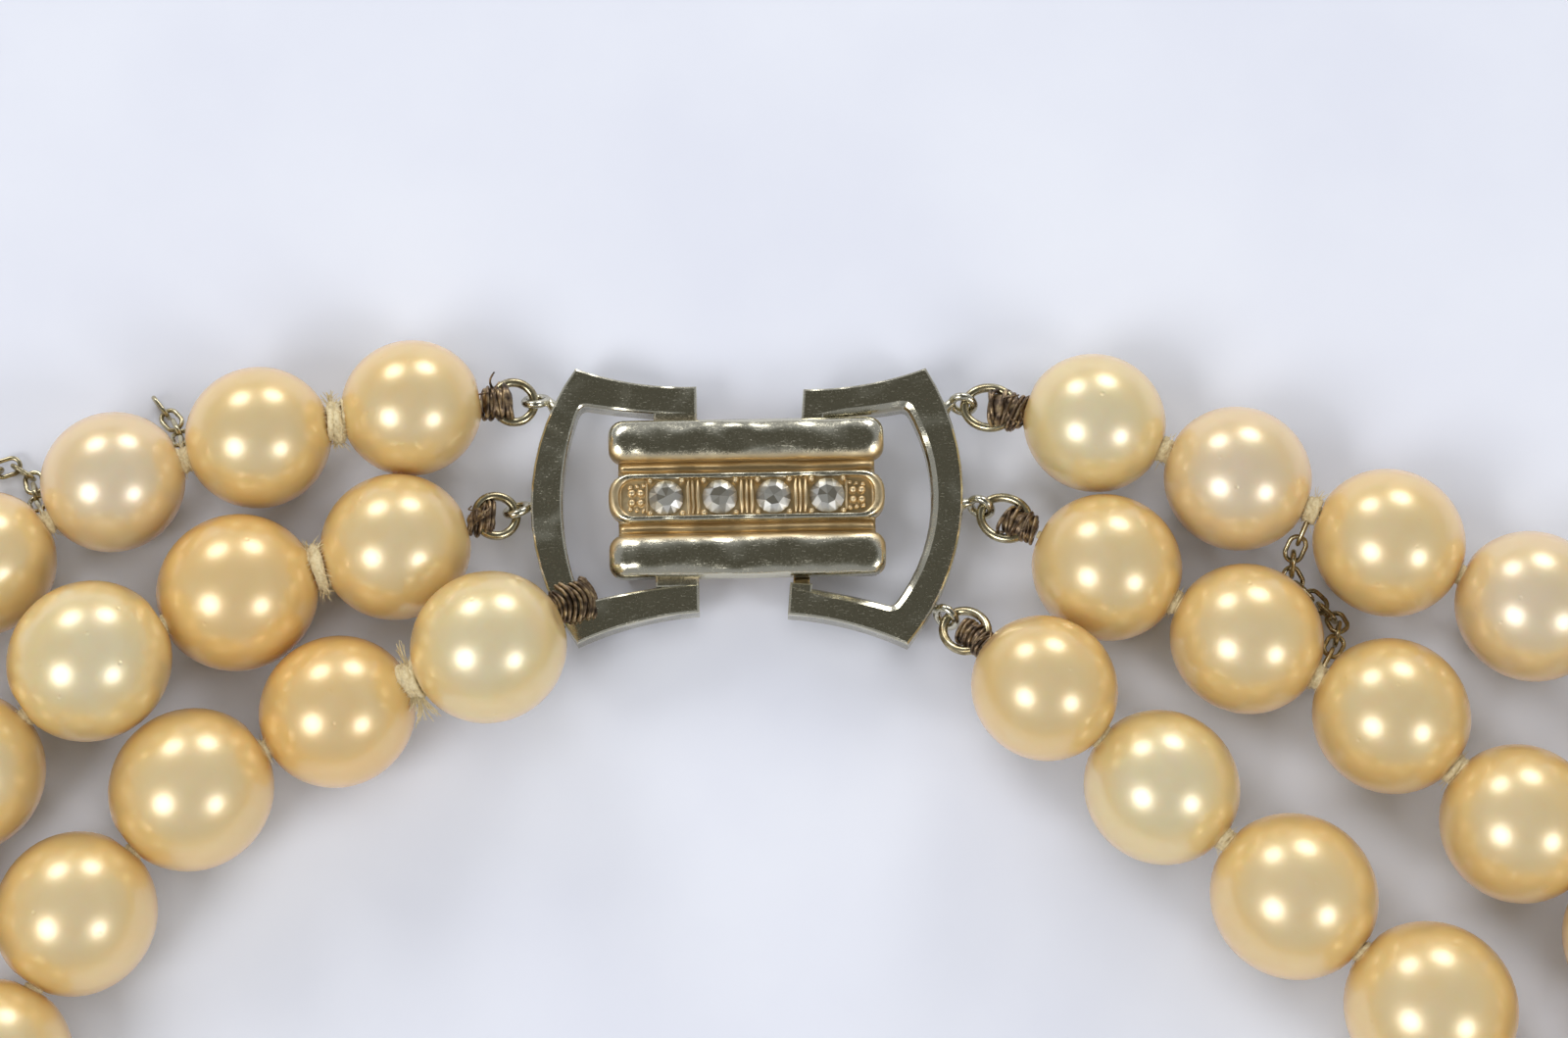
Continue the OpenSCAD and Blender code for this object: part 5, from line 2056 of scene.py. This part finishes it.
@dataclass
class SingleCut:
    """A round stone in few large facets: a table, sixteen on the crown and as many below."""

    layout: Layout
    sizes: ClaspSizes
    number: int
    turn_deg: float
    table: float = 0.56
    crown_h: float = 0.3
    girdle_h: float = 0.06
    pavilion_h: float = 0.78
    seat_h: float = 0.06
    # levels of the painted sparkle, one drawn for each facet
    painted_sparkle_levels: Sequence[float] = (0.1, 0.45, 0.8, 1.0)

    @property
    def middle(self) -> Vector:
        """Middle of the girdle's underside, in the plaque's coordinates."""
        s = self.sizes
        return Vector((s.stone_x(self.number - 1), 0, s.channel_z + self.seat_h))

    def ring(self, count: int, radius: float, height: float, shift_deg: float = 0.0) -> list[Vector]:
        """Gives evenly spaced points round the stone's axis.

        Args:
            count: How many.
            radius: How far from the axis.
            height: How far above the girdle's underside.
            shift_deg: How far they are turned on.

        Returns:
            The points.
        """
        middle = self.middle + UP * height
        angles = (math.radians(self.turn_deg + shift_deg + 360 * k / count) for k in range(count))
        return [middle + Vector((radius * math.cos(t), radius * math.sin(t), 0)) for t in angles]

    def build(self, material: bpy.types.Material) -> bpy.types.Object:
        """Cuts the stone and seats it in the channel.

        Args:
            material: The diamond.

        Returns:
            The piece.
        """
        r = self.sizes.stone_d / 2
        luck = random.Random(self.number)
        verts = [*self.ring(8, self.table * r, self.girdle_h + self.crown_h, 22.5),
                 *self.ring(16, r, self.girdle_h), *self.ring(16, r, 0.0),
                 self.middle - UP * self.pavilion_h,
                 self.middle + UP * (self.girdle_h + self.crown_h)]
        upper, lower, culet, heart = 8, 24, 40, 41
        faces: list[tuple[int, ...]] = [(k, (k + 1) % 8, heart) for k in range(8)]
        for k in range(8):
            before, after = (k - 1) % 8, 2 * k + 2 - 16 * (k == 7)
            faces += [(before, upper + 2 * k, k), (k, upper + 2 * k, upper + 2 * k + 1),
                      (k, upper + 2 * k + 1, upper + after)]
        for k in range(16):
            n = (k + 1) % 16
            faces += [(upper + k, lower + k, lower + n, upper + n), (lower + k, culet, lower + n)]
        to_frame = self.layout.to_frame @ Matrix.Rotation(self.layout.plaque_turn, 4, "Z")
        made = object_from(f"single_cut_{self.number}", [to_frame @ v for v in verts], faces, material)
        outward(made)
        # Painted sparkle: each facet gets a random level from dark to bright.
        flash = made.data.attributes.new("flash", "FLOAT", "FACE")
        for row in flash.data:
            row.value = luck.choice(self.painted_sparkle_levels)
        return seat(made, "diamond", f"diamond_{self.number}")


@dataclass
class CornerWrap:
    """Wound wire over the left frame's lower corner, where the inner strand has no ring. Each
    turn is long along the frame's bar, and the turns follow each other round the bar."""

    layout: Layout
    sizes: ClaspSizes
    strand: PearlStrand
    node: str = "wire_loop_inner_left"
    pitch: float = 0.215
    wire: float = 0.2
    half_long: float = 1.0
    half_thick: float = 0.17
    sag: float = 0.42
    swing_deg: float = -13.0
    shift: tuple[float, float] = (0.3, -0.3)
    spare: tuple[float, float] = (0.1, 0.3)
    squareness: float = 0.6
    fine_steps: int = 240
    turn_steps: int = 20
    seed: int = 31

    def spots(self, half_x: float, half_z: float) -> list[tuple[float, float]]:
        """Gives even places round the bar's section.

        Args:
            half_x: Half the section's width.
            half_z: Half its height.

        Returns:
            The places.
        """
        fine = []
        for k in range(self.fine_steps + 1):
            t = 2 * math.pi * k / self.fine_steps
            c, z = math.cos(t), math.sin(t)
            fine.append((half_x * math.copysign(abs(c) ** self.squareness, c),
                         half_z * math.copysign(abs(z) ** self.squareness, z)))
        out, gone = [], 0.0
        for a, b in zip(fine, fine[1:]):
            gone += math.dist(a, b)
            if gone >= self.pitch:
                out.append(b)
                gone = 0.0
        return out

    def build(self, material: bpy.types.Material) -> bpy.types.Object:
        """Builds the turns round the frame's bar as one piece.

        Args:
            material: The wound wire.

        Returns:
            The piece.
        """
        luck = random.Random(self.seed)
        middle = self.layout.solids(self.node)[0].middle + Vector((*self.shift, 0))
        target = self.strand.pearls[0][0] - middle
        swing = Matrix.Rotation(math.radians(self.swing_deg), 3, "Z")
        way = swing @ Vector((target.x, target.y, 0)).normalized()
        level = Vector((-way.y, way.x, 0))
        s = self.sizes
        turns = []
        for x, z in self.spots(s.frame_bar / 2 + self.spare[0], s.frame_h / 2 + self.spare[1]):
            spot = middle + way * x + UP * z
            out = (way * x + UP * z * 1.5).normalized()
            ahead = level.cross(out)
            long = self.half_long * luck.uniform(0.86, 1.06) * (1 - 0.25 * max(0.0, x))
            thick = self.half_thick * luck.uniform(0.8, 1.3)
            shift = level * luck.uniform(-0.12, 0.12)
            turns.append(WirePath([
                spot + shift + level * long * math.cos(t) + out * thick * math.sin(t)
                + ahead * self.sag * (math.cos(t) ** 2 - 0.5) for t in around(self.turn_steps)],
                closed=True))
        made = wires("wound_wire_corner", turns, self.wire / 2, self.layout.to_frame, material)
        return seat(made, "wire", self.node)


# Studio

@dataclass(frozen=True)
class SoftLamp:
    """A round soft lamp: the way to it from the clasp, its size in metres, its power, and
    whether it shows in what the pearls and the metal mirror."""

    name: str
    way: tuple[float, float, float]
    size: float
    watts: float
    mirrored: bool = True


@dataclass
class Studio:
    """Table, lamps, sky and camera."""

    layout: Layout
    aim: tuple[float, float, float] = (1.902, -1.113, 3.0)
    eye: tuple[float, float, float] = (1.902, -44.974, 218.583)
    lens: float = 99.0
    lamp_reach: float = 0.6
    table_half: float = 3.0
    room: Stops = ((0.0, "#F4F6FC"), (0.4, "#E8ECF4"), (0.7, "#DCE0E8"), (0.84, "#9A9C98"),
                   (0.93, "#7C7B72"))
    room_light: float = 0.47
    lamps: Sequence[SoftLamp] = (
        SoftLamp("lamp_low_left", (-0.52, -0.416, 0.742), 0.28, 1.22),
        SoftLamp("lamp_low_right", (0.61, -0.475, 0.633), 0.22, 0.8),
        SoftLamp("lamp_high_left", (-0.39, 0.768, 0.508), 0.24, 0.79),
        SoftLamp("lamp_high_right", (0.28, 0.863, 0.42), 0.24, 0.85),
        SoftLamp("fill_overhead", (0.0, 0.1, 1.0), 0.45, 0.86, mirrored=False),
    )

    def build(self, table: bpy.types.Material) -> None:
        """Builds the studio round the clasp.

        Args:
            table: The table's finish.
        """
        self.floor(table)
        self.sky()
        for lamp in self.lamps:
            self.hang(lamp)
        self.camera()

    def floor(self, material: bpy.types.Material) -> None:
        """Lays the table.

        Args:
            material: Its finish.
        """
        h = self.table_half
        object_from("table", [(-h, -h, 0), (h, -h, 0), (h, h, 0), (-h, h, 0)],
                             [(0, 1, 2, 3)], material)

    def sky(self) -> None:
        """Makes a room that is dark overhead and bright at its sides."""
        world = bpy.data.worlds.new("studio_room")
        bpy.context.scene.world = world
        world.use_nodes = True
        tree = world.node_tree
        place = add(tree, "ShaderNodeTexCoord")
        split = add(tree, "ShaderNodeSeparateXYZ", links={0: place.outputs["Generated"]})
        light = add(tree, "ShaderNodeValToRGB", {"stops": self.room}, {"Fac": split.outputs["Z"]})
        fit(tree, tree.nodes["Background"], {"Strength": self.room_light},
            {"Color": light.outputs["Color"]})

    def hang(self, lamp: SoftLamp) -> None:
        """Hangs one lamp that looks at the clasp.

        Args:
            lamp: The lamp.
        """
        data = bpy.data.lights.new(lamp.name, "AREA")
        data.shape, data.size, data.energy = "DISK", lamp.size, lamp.watts
        made = linked(lamp.name, data)
        way = Vector(lamp.way).normalized()
        made.location, made.rotation_mode = self.layout.origin + way * self.lamp_reach, "QUATERNION"
        made.rotation_quaternion = way.to_track_quat("Z", "Y")
        made.visible_glossy = lamp.mirrored

    def camera(self) -> None:
        """Puts the camera almost straight above the clasp."""
        data = bpy.data.cameras.new("camera")
        data.lens = self.lens
        data.clip_start, data.clip_end = 0.01, 10.0
        aim, eye = (self.layout.to_frame @ Vector(p) for p in (self.aim, self.eye))
        made = linked("camera", data)
        made.location, made.rotation_mode = eye, "QUATERNION"
        made.rotation_quaternion = (aim - eye).to_track_quat("-Z", "Y")
        bpy.context.scene.camera = made
        bpy.context.scene.view_settings.view_transform = "Standard"


# The necklace

def strands(layout: Layout) -> list[PearlStrand]:
    """Gives the three strands, with the looks of the pearls and knots next to the clasp.

    Args:
        layout: Places of the CAD nodes.

    Returns:
        The outer, middle and inner strand.
    """
    deep, gold, honey, cream, blush = PearlTone
    return [
        PearlStrand("outer", layout, Vector((-15, 5, 3)),
                    (gold, honey, blush, gold, honey), (cream, blush, gold, blush),
                    (2.3, 1.4, 1.2), (1.4, 1.5, 1.1), 11,
                    (Fray(0, 110, 0.9, 14), Fray(0, -85, 0.5, 20))),
        PearlStrand("middle", layout, Vector((-16, -1, 3)),
                    (gold, deep, cream, gold), (honey, gold, honey, gold, honey),
                    (2.6, 1.1, 1.0), (1.3, 1.4, 1.6, 1.2), 22,
                    (Fray(0, 125, 0.6, 20), Fray(0, -70, 0.4, 20))),
        PearlStrand("inner", layout, Vector((-11, -6, 3)),
                    (cream, deep, gold, gold, honey), (honey, cream, gold, gold),
                    (2.0, 1.2, 1.0), (1.3, 1.3, 1.4, 1.0), 33,
                    (Fray(0, 115, 1.4, 9, 0.25), Fray(0, -68, 1.7, 34), Fray(0, -85, 1.0))),
    ]


def main() -> None:
    """Builds the necklace piece by piece and sets the studio."""
    layout, sizes = Layout(), ClaspSizes()
    nacre, silk = CulturedNacre().material(), SilkFloss().material()
    gold, drawn = WornWhiteGold().material(), DrawnGold().material()
    wound, stone = TarnishedWire().material(), CutDiamond().material()

    fibre = silk_fibre()
    rows = strands(layout)
    for row in rows:
        row.build_pearls(nacre)
        row.build_silk(silk, fibre)
    bpy.data.objects.remove(fibre)

    ends = [
        StrandEnd("outer_left", layout, Binding(0.15, 1.62, 2.0, 1.5, strays=5), 41),
        StrandEnd("middle_left", layout, Binding(0.2, 1.5, 1.7, 1.3, lean_deg=28, taper=0.6), 42),
        StrandEnd("outer_right", layout, Binding(0.1, 1.9, 2.0, 1.6, 9, mess=0.14, strays=9), 43),
        StrandEnd("middle_right", layout, Binding(0.05, 1.75, 1.7, 1.4, mess=0.08), 44),
        StrandEnd("inner_right", layout, Binding(-0.1, 2.0, 1.5, 1.3, 10, mess=0.08), 45),
    ]
    for end in ends:
        end.build_ring(drawn)
        end.build_wrap(wound)
    CornerWrap(layout, sizes, rows[2]).build(wound)

    plaque_turn = math.degrees(layout.plaque_turn)
    PlaqueHalf(layout, sizes, gold, plaque_turn).build([e for e in ends if "left" in e.word])
    TongueHalf(layout, sizes, gold, sizes.tongue_turn).build([e for e in ends if "right" in e.word])
    for number, turn_deg in zip(range(1, sizes.stone_count + 1), (4, 17, 9, 28)):
        SingleCut(layout, sizes, number, turn_deg).build(stone)

    kept = {**{f"thread_{row.word}": silk for row in rows},
            **{f"safety_chain_{part}": drawn for part in ("left", "edge", "right")}}
    for node, material in kept.items():
        dress(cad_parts[node], material)
        log.info("%s keeps its CAD shape", node)

    Studio(layout).build(PaleTable().material())


if __name__ == "__main__":
    logging.basicConfig(level=logging.INFO, format="%(message)s")
    main()
